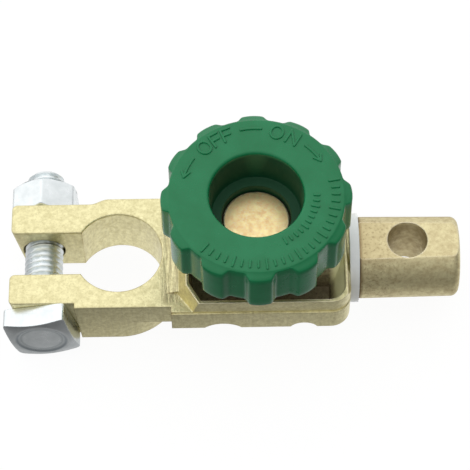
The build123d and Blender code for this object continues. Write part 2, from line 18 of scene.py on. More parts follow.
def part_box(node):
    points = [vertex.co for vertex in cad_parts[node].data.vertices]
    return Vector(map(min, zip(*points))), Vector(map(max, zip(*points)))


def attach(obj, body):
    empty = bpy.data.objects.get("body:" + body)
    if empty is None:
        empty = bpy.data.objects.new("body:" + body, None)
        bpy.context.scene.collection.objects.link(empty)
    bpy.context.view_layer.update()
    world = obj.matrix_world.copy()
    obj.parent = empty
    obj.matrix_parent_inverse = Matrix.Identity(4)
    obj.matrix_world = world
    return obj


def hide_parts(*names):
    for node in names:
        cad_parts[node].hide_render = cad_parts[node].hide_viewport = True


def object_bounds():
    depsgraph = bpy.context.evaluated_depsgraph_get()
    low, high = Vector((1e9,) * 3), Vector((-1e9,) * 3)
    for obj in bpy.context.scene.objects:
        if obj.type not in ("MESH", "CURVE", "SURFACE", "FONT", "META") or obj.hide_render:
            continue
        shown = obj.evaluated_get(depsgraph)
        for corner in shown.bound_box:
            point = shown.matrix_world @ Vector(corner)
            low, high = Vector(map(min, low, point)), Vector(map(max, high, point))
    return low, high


bl_info = {
    "name": "Battery Disconnect Switch",
    "version": (1, 0, 0),
    "blender": (4, 5, 0),
    "location": "3D View > Sidebar > Switch",
    "description": "Dresses the solids of a battery terminal disconnect switch and stages them",
    "category": "Object",
}

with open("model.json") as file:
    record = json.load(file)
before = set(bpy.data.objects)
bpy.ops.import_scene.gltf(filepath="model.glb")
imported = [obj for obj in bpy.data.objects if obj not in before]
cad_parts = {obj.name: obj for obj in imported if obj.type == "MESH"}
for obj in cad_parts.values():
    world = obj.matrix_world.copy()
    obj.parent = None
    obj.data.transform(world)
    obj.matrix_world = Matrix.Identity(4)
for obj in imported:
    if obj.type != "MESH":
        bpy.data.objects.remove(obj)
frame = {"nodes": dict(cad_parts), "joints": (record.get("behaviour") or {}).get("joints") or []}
CAD_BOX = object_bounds()

MM = 0.001
JOINTS = {joint["name"]: joint for joint in frame["joints"]}
SCREW_AXIS = Vector(JOINTS["knob_turn"]["pos_m"])
BOLT_LOW, BOLT_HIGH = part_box("clamp_bolt")
NUT_LOW, NUT_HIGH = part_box("clamp_nut")
KNOB_LOW, KNOB_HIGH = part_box("knob")
SCREW_LOW, SCREW_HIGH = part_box("contact_screw")
# Where the barrel starts and where its cross hole is, in millimetres
BARREL_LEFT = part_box("insulating_bush")[1].x / MM
CABLE_HOLE_X = 59.4
CABLE_HOLE_R = 4.1


def length(name, text, default_mm):
    """A length property, given in millimetres and kept in metres."""
    return bpy.props.FloatProperty(
        name=name, description=text, default=default_mm * MM, min=0.0, precision=5,
        subtype="DISTANCE", unit="LENGTH",
    )


def colour(name, text, default):
    """A linear colour property."""
    return bpy.props.FloatVectorProperty(
        name=name, description=text, default=default, size=3, min=0.0, max=1.0, subtype="COLOR",
    )


def share(name, text, default):
    """A property from 0 to 1."""
    return bpy.props.FloatProperty(
        name=name, description=text, default=default, min=0.0, max=1.0, subtype="FACTOR",
    )


def rotation(name, text, default_degrees):
    """An angle property, given in degrees and kept in radians."""
    return bpy.props.FloatProperty(
        name=name, description=text, default=radians(default_degrees), subtype="ANGLE",
        unit="ROTATION",
    )


def brightness(name, text, default):
    """A brightness property, where 1 is white."""
    return bpy.props.FloatProperty(name=name, description=text, default=default, min=0.0)


def number(name, text, default, least):
    """A whole number with its least value."""
    return bpy.props.IntProperty(name=name, description=text, default=default, min=least)


class KnobSizes(bpy.types.PropertyGroup):
    """The knob's section and lobes. Heights count from the grip's base."""

    body_r: length("Body radius", "Radius of the grip between two lobes", 17.6)
    lobe_depth: length("Lobe depth", "How far a lobe stands out of the body", 1.4)
    lobe_count: number("Lobes", "Lobes round the grip", 12, 3)
    lobe_phase: rotation("First lobe", "Angle of the first lobe from +X", 1.5)
    crest_angle: rotation("Crest angle", "Angle that a lobe's crest spans", 12.0)
    foot_angle: rotation("Foot angle", "Angle that a lobe's foot spans", 22.0)
    crest_fall: share("Crest fall", "Share of its depth that a lobe's crest falls", 0.1)
    crown: length("Crown", "How far the top falls from the well's rim to its edge", 0.2)
    boss_drop: length("Boss drop", "How far the boss hangs below the grip", 2.3)
    boss_r: length("Boss radius", "Radius of the boss over the collar", 10.6)
    hub_r: length("Hub radius", "Radius of the hub inside the grip", 12.4)
    hollow_r: length("Hollow radius", "Radius of the hollow's outer wall", 14.6)
    top_wall: length("Top wall", "Thickness of the grip's top over the hollow", 3.2)
    rib_width: length("Rib width", "Thickness of a rib in the hollow", 1.4)
    rib_count: number("Ribs", "Ribs across the hollow", 6, 0)
    well_rim_r: length("Well rim radius", "Radius of the well at its mouth", 9.45)
    well_floor_r: length("Well floor radius", "Radius of the well at its shelf", 9.04)
    well_depth: length("Well depth", "Depth of the shelf below the top", 8.64)
    lip_r: length("Lip radius", "Rounding of the well's mouth", 0.65)
    shelf_hole_r: length("Shelf hole radius", "Radius of the hole round the screw's face", 7.0)
    hex_inner_r: length("Hexagon radius", "Inner radius of the screw's hexagon", 7.75)
    hex_height: length("Hexagon height", "Height of the screw's hexagon", 2.5)


class MarkSizes(bpy.types.PropertyGroup):
    """The raised marks on the knob's top."""

    height: length("Height", "How far a mark stands up", 0.28)
    width: length("Width", "Width of a stroke", 0.5)
    letter_height: length("Letter height", "Height of a letter", 2.9)
    letter_width: length("Letter width", "Width of a letter", 2.5)
    row_r: length("Row radius", "Radius of the row of letters", 14.9)


class FastenerSizes(bpy.types.PropertyGroup):
    """The clamp bolt and its nut."""

    thread_r: length("Thread radius", "Outer radius of the bolt's thread", 3.99)
    thread_depth: length("Thread depth", "Depth of the bolt's thread", 0.7)
    pitch: length("Pitch", "Pitch of the bolt's thread", 1.25)
    head_square: length("Head square", "Width of the square head", 13.0)
    head_edge_r: length("Head edge radius", "Rounding of the head's four long edges", 0.9)
    nut_flats: length("Nut flats", "Width of the nut across its flats", 13.0)
    head_turn: rotation("Head turn", "How far the head is turned", 12)
    nut_turn: rotation("Nut turn", "How far the nut is turned", 4)
    head_chamfer: rotation("Head chamfer", "Angle of the cone at the head's corners", 17)
    nut_chamfer: rotation("Nut chamfer", "Angle of the cones at the nut's corners", 30)
    face_inset: length("Face inset", "How far the head's round face stays inside its flats", 0.6)
    dish_rim: length("Dish rim", "Width of the rim round the head's shallow dish", 0.75)
    dish_depth: length("Dish depth", "Depth of the head's dish", 0.3)


class ContactScrewSizes(bpy.types.PropertyGroup):
    """The contact screw inside the knob."""

    thread_r: length("Thread radius", "Outer radius of the drawn thread", 6.55)
    thread_depth: length("Thread depth", "Depth of the drawn thread", 0.85)
    pitch: length("Pitch", "Pitch of the thread", 1.5)
    face_r: length("Face radius", "Radius of the bright face", 6.7)


class SwitchColours(bpy.types.PropertyGroup):
    """Linear colours of the finishes."""

    cast_brass: colour("Cast brass", "The casting", (0.82, 0.76, 0.45))
    cast_shade: colour("Cast shade", "Duller patches of the casting", (0.60, 0.54, 0.29))
    cast_tarnish: colour("Cast tarnish", "Brown film along the casting's edges", (0.36, 0.26, 0.12))
    # Painted shade inside the tray; also the colour of tool marks on the sides and the ramp
    tray_shade_and_marks: colour("Tray shade", "Dull raw casting inside the tray", (0.40, 0.35, 0.20))
    # Darker spots in the tray, and painted shade deepening towards the tray's floor
    tray_spots_and_shade: colour("Tray spots and shade", "Darkest spots inside the tray", (0.12, 0.08, 0.045))
    # Painted highlight on the upper part of the tray's right slope
    slope_painted_highlight: colour("Tray shine", "Wiped right slope of the tray", (1.0, 0.97, 0.55))
    terminal_brass: colour("Terminal brass", "The cable terminal", (0.76, 0.69, 0.41))
    # Darker patches, and painted shade on the terminal's flat, deepest at its left end
    terminal_patches_and_shade: colour("Terminal shade", "Darker patches of the terminal", (0.52, 0.43, 0.24))
    # Painted highlights on rims and edges, and lighter specks on the contact screw's face
    edge_highlight_and_specks: colour("Edge shine", "Edges worn bright", (0.95, 0.88, 0.66))
    # Brown film and specks, and painted shade low, at the rear, at the left end and in the hole
    terminal_tarnish_and_shade: colour("Terminal tarnish and shade", "Brown film on the terminal", (0.28, 0.20, 0.10))
    # Painted shade in the gap round the screw's face
    gap_shade: colour("Gap shade", "Grime in the gap round the screw's face", (0.05, 0.035, 0.02))
    stud_gold: colour("Stud gold", "Lighter clouds of the screw's face", (0.99, 0.84, 0.43))
    stud_copper: colour("Stud copper", "Redder clouds of the screw's face", (0.97, 0.70, 0.36))
    zinc: colour("Zinc plate", "The clamp bolt and its nut", (0.86, 0.90, 0.91))
    # Greyer film on the zinc, and a lighter ring of painted shade in the bolt head's dish
    zinc_film_and_shade: colour("Zinc shade", "Greyer film on the zinc plate", (0.58, 0.63, 0.64))
    # Painted shade in a ring on the wall of the bolt head's dish
    zinc_dish_shade: colour("Zinc ring", "Dark turned ring on the bolt's head", (0.42, 0.47, 0.50))
    silver: colour("Silver plate", "The contact pad", (0.85, 0.84, 0.80))
    silver_shade: colour("Silver shade", "Dull film on the silver plate", (0.55, 0.54, 0.50))
    green: colour("Green plastic", "The knob", (0.004, 0.165, 0.055))
    green_light: colour("Light green", "Lighter clouds of the knob", (0.010, 0.205, 0.078))
    # Painted shade on the knob's well
    green_well_shade: colour("Deep green", "The well's wall, polished by no hand", (0.002, 0.06, 0.02))
    nylon: colour("Nylon", "The insulating pieces", (0.93, 0.95, 0.94))
    nylon_shade: colour("Nylon shade", "Duller clouds of the nylon", (0.84, 0.86, 0.86))


class StageSettings(bpy.types.PropertyGroup):
    """Floor, room and lamp."""

    floor_white: share("Floor whiteness", "How far the floor is white to the camera", 0.9)
    dome_bright: brightness("Bright side", "Brightness of the room's light side", 1.2)
    dome_dim: brightness("Dim side", "Brightness of the room's dark side", 0.3)
    key_radiance: brightness("Key lamp", "Brightness of the overhead lamp's face", 0.15)


def grid_faces(rows, columns, wrap_rows, wrap_columns):
    """Corner indices of the quads between neighbouring rows and columns of a grid of points."""
    row = np.arange(rows if wrap_rows else rows - 1)[:, None]
    column = np.arange(columns if wrap_columns else columns - 1)[None, :]
    next_row = (row + 1) % rows
    next_column = (column + 1) % columns
    corners = [row * columns + column, row * columns + next_column,
               next_row * columns + next_column, next_row * columns + column]
    return np.stack(np.broadcast_arrays(*corners), axis=-1).reshape(-1, 4)


# Points nearer than this are one, and shorter edges are taken out, in metres
MERGE_DISTANCE = 2e-7
SLIVER_LENGTH = 1e-7


def make_piece(name, grids, sharp_angle=40.0):
    """A mesh piece from grids of points.

    Each grid comes with whether its rows and its columns close on themselves.
    """
    points, faces, first = [], [], 0
    for grid, wrap_rows, wrap_columns in grids:
        rows, columns = grid.shape[:2]
        points.append(grid.reshape(-1, 3))
        faces.append(grid_faces(rows, columns, wrap_rows, wrap_columns) + first)
        first += rows * columns
    mesh = bpy.data.meshes.new(name)
    mesh.from_pydata(np.concatenate(points).tolist(), [], np.concatenate(faces).tolist())
    solid = bmesh.new()
    solid.from_mesh(mesh)
    bmesh.ops.remove_doubles(solid, verts=solid.verts, dist=MERGE_DISTANCE)
    bmesh.ops.dissolve_degenerate(solid, edges=solid.edges, dist=SLIVER_LENGTH)
    bmesh.ops.recalc_face_normals(solid, faces=solid.faces)
    solid.to_mesh(mesh)
    solid.free()
    mesh.shade_smooth()
    mesh.set_sharp_from_angle(angle=radians(sharp_angle))
    piece = bpy.data.objects.new(name, mesh)
    bpy.context.scene.collection.objects.link(piece)
    return piece


def around(radius, height, angles):
    """Points of rows turned about Z, each row with a radius and a height at every angle."""
    radius, height = np.broadcast_arrays(radius, height, subok=False)
    return np.stack([radius * np.cos(angles), radius * np.sin(angles), height], axis=-1)


def rows_to_grid(rows, angles):
    """A grid of points from rows of (radius, height), each a number or an array over the angles."""
    radius = np.stack([np.broadcast_to(r, angles.shape) for r, _ in rows])
    height = np.stack([np.broadcast_to(z, angles.shape) for _, z in rows])
    return around(radius, height, angles)


def polygon_radius(angles, sides, inner_r, corner_r, turn=0.0):
    """Distance from the centre to a regular polygon with rounded corners, at each angle.

    On a flat it is the inner radius over the cosine of the angle from the flat's middle. Near a
    corner it is where the ray meets the circle that rounds the corner.
    """
    half = pi / sides
    from_middle = np.abs((angles - turn + half) % (2 * half) - half)
    centre_r = (inner_r - corner_r) / cos(half)
    along = centre_r * np.cos(half - from_middle)
    corner = along + np.sqrt(np.maximum(along**2 - centre_r**2 + corner_r**2, 0.0))
    flat_end = np.arctan2(centre_r * sin(half), inner_r)
    return np.where(from_middle <= flat_end, inner_r / np.cos(from_middle), corner)


THREAD_SLOPE = 2.64
THREAD_CREST = 1.42


def thread_radius(heights, angles, outer_r, depth, pitch):
    """Radius of a right-hand thread: a trapezoid wave in height, moved up one pitch for each turn.

    The wave is a triangle whose crest is over 1 and whose root is under 0. Cutting it off there
    leaves the thread's flat crest and root.
    """
    phase = (heights[:, None] / pitch - angles[None, :] / tau) % 1.0
    wave = np.clip(THREAD_CREST - THREAD_SLOPE * np.abs(2 * phase - 1), 0.0, 1.0)
    return outer_r - depth * (1 - wave)


def lobe_share(angles, sizes):
    """How far the grip stands out at each angle, as a share of the lobes' depth.

    It is 0 between lobes and rises to a lobe's crest by a smooth step. On the crest it falls with
    the square of the way from the middle.
    """
    pitch = tau / sizes.lobe_count
    from_middle = np.abs((angles - sizes.lobe_phase + pitch / 2) % pitch - pitch / 2)
    flank = (sizes.foot_angle - sizes.crest_angle) / 2
    step = np.clip((sizes.foot_angle / 2 - from_middle) / flank, 0, 1)
    crest = 1 - sizes.crest_fall * (from_middle / (sizes.crest_angle / 2)) ** 2
    return np.maximum(crest, 0.0) * step**2 * (3 - 2 * step)


def crown_fall(sizes, radius):
    """How far the top lies below its highest ring: the square of the way out from the rim."""
    rim = sizes.well_rim_r + sizes.lip_r
    way = np.clip((radius - rim) / (sizes.body_r - rim), 0.0, 1.0)
    return sizes.crown * way**2


def arc(centre, radius, start, end, count):
    """Points of an arc in a section, as (radius, height) pairs, with its angles in degrees."""
    turn = np.radians(np.linspace(start, end, count))
    return [(centre[0] + radius * cos(a), centre[1] + radius * sin(a)) for a in turn]


# Roundings of the knob's section
FINE_ROUND = 0.2 * MM
SHELF_ROUND = 0.25 * MM
BASE_ROUND = 0.3 * MM
HOLLOW_ROUND = 0.4 * MM
HEX_CORNER_R = 0.05 * MM
# The skirt's foot, as (way in, height) in millimetres
SKIRT_FOOT = ((0.3, 0.0), (0.15, 0.04), (0.04, 0.15), (0.0, 0.32))
SKIRT_EDGE_HEIGHT = 1.5 * MM
# The skirt's top edge, as (way in, more on a lobe, drop below the brim, more on a lobe)
LOBE_EDGE = ((0.0, 0.0, 0.65, 0.5), (0.04, 0.03, 0.5, 0.48), (0.08, 0.10, 0.38, 0.46),
             (0.12, 0.28, 0.3, 0.4))
# Drop of the row halfway from that edge to the top's own, and its addition on a lobe
LOBE_TOP_DROP = (0.27, 0.2)
# The top's own edge, as (way in, drop below the brim)
TOP_EDGE = ((0.1, 0.24), (0.2, 0.12), (0.35, 0.04), (0.55, 0.0))


def knob_rows(sizes, angles, top):
    """Rows of the knob's surface, from the hexagon round to the well's shelf.

    A row is a ring whose radius is constant, or follows the hexagon or the lobes. Over a lobe the
    rows beyond the top's edge run out to the crest and fall with it.
    """
    lobes = lobe_share(angles, sizes)
    hexagon = polygon_radius(angles, 6, sizes.hex_inner_r, HEX_CORNER_R, pi / 6)
    pocket = sizes.hex_height - sizes.boss_drop
    rows = [(sizes.shelf_hole_r, pocket), (hexagon, pocket), (hexagon, -sizes.boss_drop)]
    rows += arc((sizes.boss_r - BASE_ROUND, BASE_ROUND - sizes.boss_drop), BASE_ROUND, -90, 0, 5)
    rows += [(sizes.boss_r, 0.0), (sizes.hub_r - FINE_ROUND, 0.0), (sizes.hub_r, FINE_ROUND)]
    roof = top - sizes.top_wall - HOLLOW_ROUND
    rows += arc((sizes.hub_r + HOLLOW_ROUND, roof), HOLLOW_ROUND, 180, 90, 5)
    rows += arc((sizes.hollow_r - HOLLOW_ROUND, roof), HOLLOW_ROUND, 90, 0, 5)
    rows += [(sizes.hollow_r, FINE_ROUND), (sizes.hollow_r + FINE_ROUND, 0.0)]
    outer = sizes.body_r + sizes.lobe_depth * lobes
    rows += [(outer - way * MM, z * MM) for way, z in SKIRT_FOOT]
    brim = top - sizes.crown
    foot = SKIRT_FOOT[-1][1] * MM
    for height in np.linspace(foot, foot + brim - SKIRT_EDGE_HEIGHT, 9)[1:-1]:
        rows.append((outer, height))
    for way, more, drop, fall in LOBE_EDGE:
        rows.append((outer - (way + more * lobes) * MM, brim - (drop + fall * lobes) * MM))
    drop, fall = LOBE_TOP_DROP
    middle = (outer + sizes.body_r - TOP_EDGE[0][0] * MM) / 2
    rows.append((middle, brim - (drop + fall * lobes) * MM))
    rows += [(sizes.body_r - way * MM, brim - drop * MM) for way, drop in TOP_EDGE]
    rim = sizes.well_rim_r + sizes.lip_r
    for reach in np.linspace(sizes.body_r - TOP_EDGE[-1][0] * MM, rim, 12)[1:-1]:
        rows.append((reach, top - crown_fall(sizes, reach)))
    mouth = top - sizes.lip_r
    rows += arc((rim, mouth), sizes.lip_r, 90, 176, 10)
    shelf, wall_r = top - sizes.well_depth, sizes.well_floor_r
    rows += zip(np.linspace(sizes.well_rim_r, wall_r, 7)[1:],
                np.linspace(mouth, shelf + SHELF_ROUND, 7)[1:])
    rows += arc((wall_r - SHELF_ROUND, shelf + SHELF_ROUND), SHELF_ROUND, 0, -90, 4)
    rows += arc((sizes.shelf_hole_r + FINE_ROUND, shelf - FINE_ROUND), FINE_ROUND, 90, 180, 4)
    return rows_to_grid(rows, angles)


# How far a rib's foot stands over the grip's base, and how far it sinks into the walls
RIB_LIFT = 0.4 * MM
RIB_SINK = 0.3 * MM


def rib_grid(sizes, angle, top):
    """One rib of the hollow: a closed ring of four corners, carried from the hub to the wall.

    Its ends and its top sink into the walls that they meet.
    """
    half = sizes.rib_width / 2
    low, high = RIB_LIFT, top - sizes.top_wall + RIB_SINK
    ring = np.array([(-half, low), (half, low), (half, high), (-half, high)])
    reach = (sizes.hub_r - RIB_SINK, sizes.hollow_r + RIB_SINK)
    ends = [np.stack([np.full(4, r), ring[:, 0], ring[:, 1]], axis=-1) for r in reach]
    middles = [np.broadcast_to(end.mean(axis=0), end.shape) for end in ends]
    grid = np.stack([middles[0], ends[0], ends[1], middles[1]])
    turn = np.array([[cos(angle), -sin(angle), 0], [sin(angle), cos(angle), 0], [0, 0, 1]])
    return grid @ turn.T


COLUMNS_PER_LOBE = 40


def build_knob(sizes):
    """The moulded knob, as one closed surface turned about the screw's axis, and its ribs."""
    angles = np.linspace(0, tau, sizes.lobe_count * COLUMNS_PER_LOBE, endpoint=False)
    base = KNOB_LOW.z + sizes.boss_drop
    top = KNOB_HIGH.z - base
    place = np.array([SCREW_AXIS.x, SCREW_AXIS.y, base])
    grids = [(knob_rows(sizes, angles, top) + place, True, True)]
    for index in range(sizes.rib_count):
        rib = rib_grid(sizes, index * tau / sizes.rib_count, top)
        grids.append((rib + place, False, True))
    return make_piece("knob_moulding", grids)


# How far a stroke's foot lies under the top, as a share of its height
FOOT_SINK = 0.6


def stroke_grid(path, width, height, sizes):
    """A raised stroke: a ridge carried along a path of plan points, round at its ends.

    Across the stroke its rise is its height times the fourth root of one minus the fourth power of
    the place across, so its top is flat and its sides are steep. It stands on the knob's crowned
    top, and its foot lies under that surface by a share of its height.
    """
    path = np.asarray(path, float)
    step = np.gradient(path, axis=0)
    step /= np.linalg.norm(step, axis=1, keepdims=True)
    side = np.stack([-step[:, 1], step[:, 0]], axis=1)
    caps = np.radians(np.linspace(90, 0, 5))[:-1]
    start = path[0] - step[0] * (width / 2) * np.sin(caps)[:, None]
    end = path[-1] + step[-1] * (width / 2) * np.sin(caps[::-1])[:, None]
    line = np.concatenate([start, path, end])
    first, last = (np.repeat(end, len(caps), 0) for end in (side[:1], side[-1:]))
    sides = np.concatenate([first, side, last])
    scale = np.concatenate([np.cos(caps), np.ones(len(path)), np.cos(caps[::-1])])
    across = np.concatenate([np.sin(np.linspace(-pi / 2, pi / 2, 9)), [0.0]])
    lift = np.concatenate([(1 - across[:-1]**4) ** 0.25, [-FOOT_SINK]])
    reach = across[None, :, None] * scale[:, None, None] * width / 2
    plan = line[:, None, :] + sides[:, None, :] * reach
    base = KNOB_HIGH.z - crown_fall(sizes, np.linalg.norm(plan, axis=-1))
    level = base + height * lift[None, :] * np.sqrt(scale)[:, None]
    return np.concatenate([plan, level[..., None]], axis=-1)


# Strokes of the letters in a square of side 1: straight ones by their ends, or the round one
LETTERS = {
    "O": ["round"],
    "F": [((0.1, 0.0), (0.1, 1.0)), ((0.1, 1.0), (0.88, 1.0)), ((0.1, 0.52), (0.74, 0.52))],
    "N": [((0.08, 0.0), (0.08, 1.0)), ((0.08, 1.0), (0.92, 0.0)), ((0.92, 0.0), (0.92, 1.0))],
}


def letter_paths(letter, sizes, angle):
    """The strokes of an upright letter on the row's circle, its top away from the centre."""
    outward = np.array([cos(angle), sin(angle)])
    rightward = np.array([sin(angle), -cos(angle)])
    paths = []
    for stroke in LETTERS[letter]:
        if stroke == "round":
            turn = np.linspace(0, tau, 41)
            shape = np.stack([0.5 + 0.5 * np.sin(turn), 0.5 + 0.5 * np.cos(turn)], axis=1)
        else:
            shape = np.linspace(stroke[0], stroke[1], 6)
        plan = (shape - 0.5) * (sizes.letter_width, sizes.letter_height)
        paths.append(outward * sizes.row_r + plan[:, :1] * rightward + plan[:, 1:] * outward)
    return paths


def arc_path(radius, start, end, count=16):
    """Plan points of an arc about the knob's axis, with its angles in degrees."""
    turn = np.radians(np.linspace(start, end, count))
    return np.stack([radius * np.cos(turn), radius * np.sin(turn)], axis=1)


BARB_LENGTH = 1.5 * MM
BARB_ANGLE = radians(32)


def arrow_paths(radius, start, end):
    """A curved arrow from one angle to the other, in degrees, with two barbs at its end."""
    shaft = arc_path(radius, start, end)
    tip = shaft[-1]
    back = shaft[-2] - tip
    x, y = back / np.linalg.norm(back)
    paths = [shaft]
    for turn in (BARB_ANGLE, -BARB_ANGLE):
        barb = np.array([x * cos(turn) - y * sin(turn), x * sin(turn) + y * cos(turn)])
        paths.append(np.linspace(tip, tip + barb * BARB_LENGTH, 5))
    return paths


# Where the marks stand, with angles in degrees from +X
MARK_WORDS = (("O", 133.0), ("F", 121.5), ("F", 112.0), ("O", 73.0), ("N", 59.5))
BAR_ANGLES = (101.0, 85.5)
BAR_LIFT = 0.3 * MM
ARROWS = ((48.0, 30.0), (146.0, 164.0))
# Rows of ticks, as (radius, length of a long tick, first angle, last angle, ticks)
TICK_ROWS = ((15.7, 2.0, -131.0, 11.0, 25), (11.9, 1.4, -63.0, -2.0, 11))
LONG_TICK_EVERY = 4
SHORT_TICK_SHARE = 0.64


def mark_paths(sizes):
    """All strokes on the top: ON, OFF, the bar between, two arrows and two scales of ticks."""
    paths = []
    for letter, angle in MARK_WORDS:
        paths += letter_paths(letter, sizes, radians(angle))
    paths.append(arc_path(sizes.row_r + BAR_LIFT, *BAR_ANGLES))
    for start, end in ARROWS:
        paths += arrow_paths(sizes.row_r, start, end)
    for radius, tick, start, end, count in TICK_ROWS:
        for index, angle in enumerate(np.radians(np.linspace(start, end, count))):
            half = tick / 2 * (1.0 if index % LONG_TICK_EVERY == 0 else SHORT_TICK_SHARE)
            way = np.array([cos(angle), sin(angle)])
            paths.append(np.linspace(way * (radius - half) * MM, way * (radius + half) * MM, 4))
    return paths


def build_marks(sizes, knob):
    """The raised marks as one piece of closed ridges on the knob's top."""
    place = np.array([SCREW_AXIS.x, SCREW_AXIS.y, 0.0])
    grids = []
    for path in mark_paths(sizes):
        stroke = stroke_grid(path, sizes.width, sizes.height, knob)
        grids.append((stroke + place, False, True))
    return make_piece("knob_marks", grids, 60.0)


def on_bolt_axis(points):
    """Moves points from the fastener's own axes, with z towards the head and y up, to the frame."""
    centre = (BOLT_LOW + BOLT_HIGH) / 2
    x, y, z = np.moveaxis(points, -1, 0)
    return np.stack([x + centre.x, -z, y + centre.z], axis=-1)


# Reach of a rounded edge, reach of the row at its middle, and the rise at the face's own edge
EDGE_SOFT = 0.14 * MM
EDGE_FINE = 0.02 * MM
FACE_EDGE_SHARE = 0.6


def prism_rows(outline, face_r, low, high, slope, both_ends):
    """Rows of a prism's side from its low face to its high face, its corners turned off by a cone.

    The cone meets the side lower where the outline is further out, which leaves the arcs seen on
    the flats. Each edge is rounded by a row on either side of it.
    """
    fall = np.maximum(outline - face_r, 0.0) * slope
    soft, fine = EDGE_SOFT, EDGE_FINE
    face_edge = soft * slope * FACE_EDGE_SHARE
    if both_ends:
        rows = [(face_r, low), (face_r + soft, low + face_edge),
                (outline - soft, low + fall - soft * slope),
                (outline - fine, low + fall + fine), (outline, low + fall + soft)]
    else:
        rows = [(outline - soft, low), (outline - 2 * fine, low + 2 * fine), (outline, low + soft)]
    rows += [(outline, high - fall - soft), (outline - fine, high - fall - fine),
             (outline - soft, high - fall + soft * slope),
             (face_r + soft, high - face_edge), (face_r, high)]
    return rows


FASTENER_COLUMNS = 144
ROWS_PER_PITCH = 14
TIP_CHAMFER = 0.85 * MM
TIP_FACE_INSET = 1.0 * MM
# The wall of the head's dish, as (way out from its radius in millimetres, share of its depth)
DISH_WALL = ((0.05, 0.0), (-0.1, 0.12), (-0.45, 0.85), (-0.65, 1.0))


def build_bolt(sizes):
    """The clamp bolt: a threaded shank with a chamfered tip, and a square head with a dish."""
    angles = np.linspace(0, tau, FASTENER_COLUMNS, endpoint=False)
    head_low, head_high, tip = NUT_LOW.y, -BOLT_LOW.y, -BOLT_HIGH.y
    turns = (head_low - tip) / sizes.pitch
    heights = np.linspace(tip, head_low, int(turns * ROWS_PER_PITCH))
    thread = thread_radius(heights, angles, sizes.thread_r, sizes.thread_depth, sizes.pitch)
    chamfer = sizes.thread_r - TIP_CHAMFER + (heights - tip)[:, None]
    shank = around(np.minimum(thread, chamfer), heights[:, None], angles)
    tip_rows = rows_to_grid([(0.0, tip), (sizes.thread_r - TIP_FACE_INSET, tip)], angles)
    half = sizes.head_square / 2
    square = polygon_radius(angles, 4, half, sizes.head_edge_r, sizes.head_turn)
    face_r = half - sizes.face_inset
    dish_r = face_r - sizes.dish_rim
    rows = [(sizes.thread_r - 0.5 * MM, head_low)]
    rows += prism_rows(square, face_r, head_low, head_high, tan(sizes.head_chamfer), False)
    for way, depth in DISH_WALL:
        rows.append((dish_r + way * MM, head_high - sizes.dish_depth * depth))
    rows.append((0.0, head_high - sizes.dish_depth))
    whole = np.concatenate([tip_rows, shank, rows_to_grid(rows, angles)])
    return make_piece("clamp_bolt_threaded", [(on_bolt_axis(whole), False, True)], 50.0)


NUT_CORNER_R = 0.3 * MM
NUT_FACE_INSET = 0.1 * MM
NUT_FIT = 0.05 * MM
NUT_GROOVE = 0.02 * MM
NUT_MOUTH_WIDTH = 0.45 * MM
NUT_MOUTH_DEPTH = 0.5 * MM


def build_nut(sizes):
    """The hexagon nut, chamfered at both faces, its hole finely grooved by the thread."""
    angles = np.linspace(0, tau, FASTENER_COLUMNS, endpoint=False)
    low, high = -NUT_HIGH.y, -NUT_LOW.y
    flat_r = sizes.nut_flats / 2
    hexagon = polygon_radius(angles, 6, flat_r, NUT_CORNER_R, sizes.nut_turn)
    rows = prism_rows(hexagon, flat_r - NUT_FACE_INSET, low, high, tan(sizes.nut_chamfer), True)
    hole_r = sizes.thread_r + NUT_FIT
    mouth_r = hole_r + NUT_MOUTH_WIDTH
    sides = rows_to_grid([(mouth_r, low), *rows, (mouth_r, high)], angles)
    hole_low, hole_high = low + NUT_MOUTH_DEPTH, high - NUT_MOUTH_DEPTH
    turns = (high - low - 2 * NUT_MOUTH_DEPTH) / sizes.pitch
    heights = np.linspace(hole_high, hole_low, int(turns * ROWS_PER_PITCH))
    groove = thread_radius(heights, angles, hole_r + NUT_GROOVE, NUT_GROOVE, sizes.pitch)
    whole = np.concatenate([sides, around(groove, heights[:, None], angles)])
    return make_piece("clamp_nut_hexagon", [(on_bolt_axis(whole), True, True)], 50.0)


SCREW_COLUMNS = 120
SCREW_ROWS_PER_PITCH = 18
DOG_R = 4.2 * MM
DOG_HEIGHT = 0.95 * MM
SPIGOT_R = 1.6 * MM
RIVET_R = 2.6 * MM
RIVET_HEIGHT = 0.45 * MM
RIVET_CHAMFER = 0.15 * MM
PAD_FIT = 0.05 * MM
HEX_FIT = 0.03 * MM
THREAD_LEAD_IN = 0.7 * MM
# The rounded edge of the bright face, as (way in, way down) in millimetres
FACE_EDGE = ((0.0, 0.3), (0.05, 0.16), (0.16, 0.05), (0.32, 0.0))


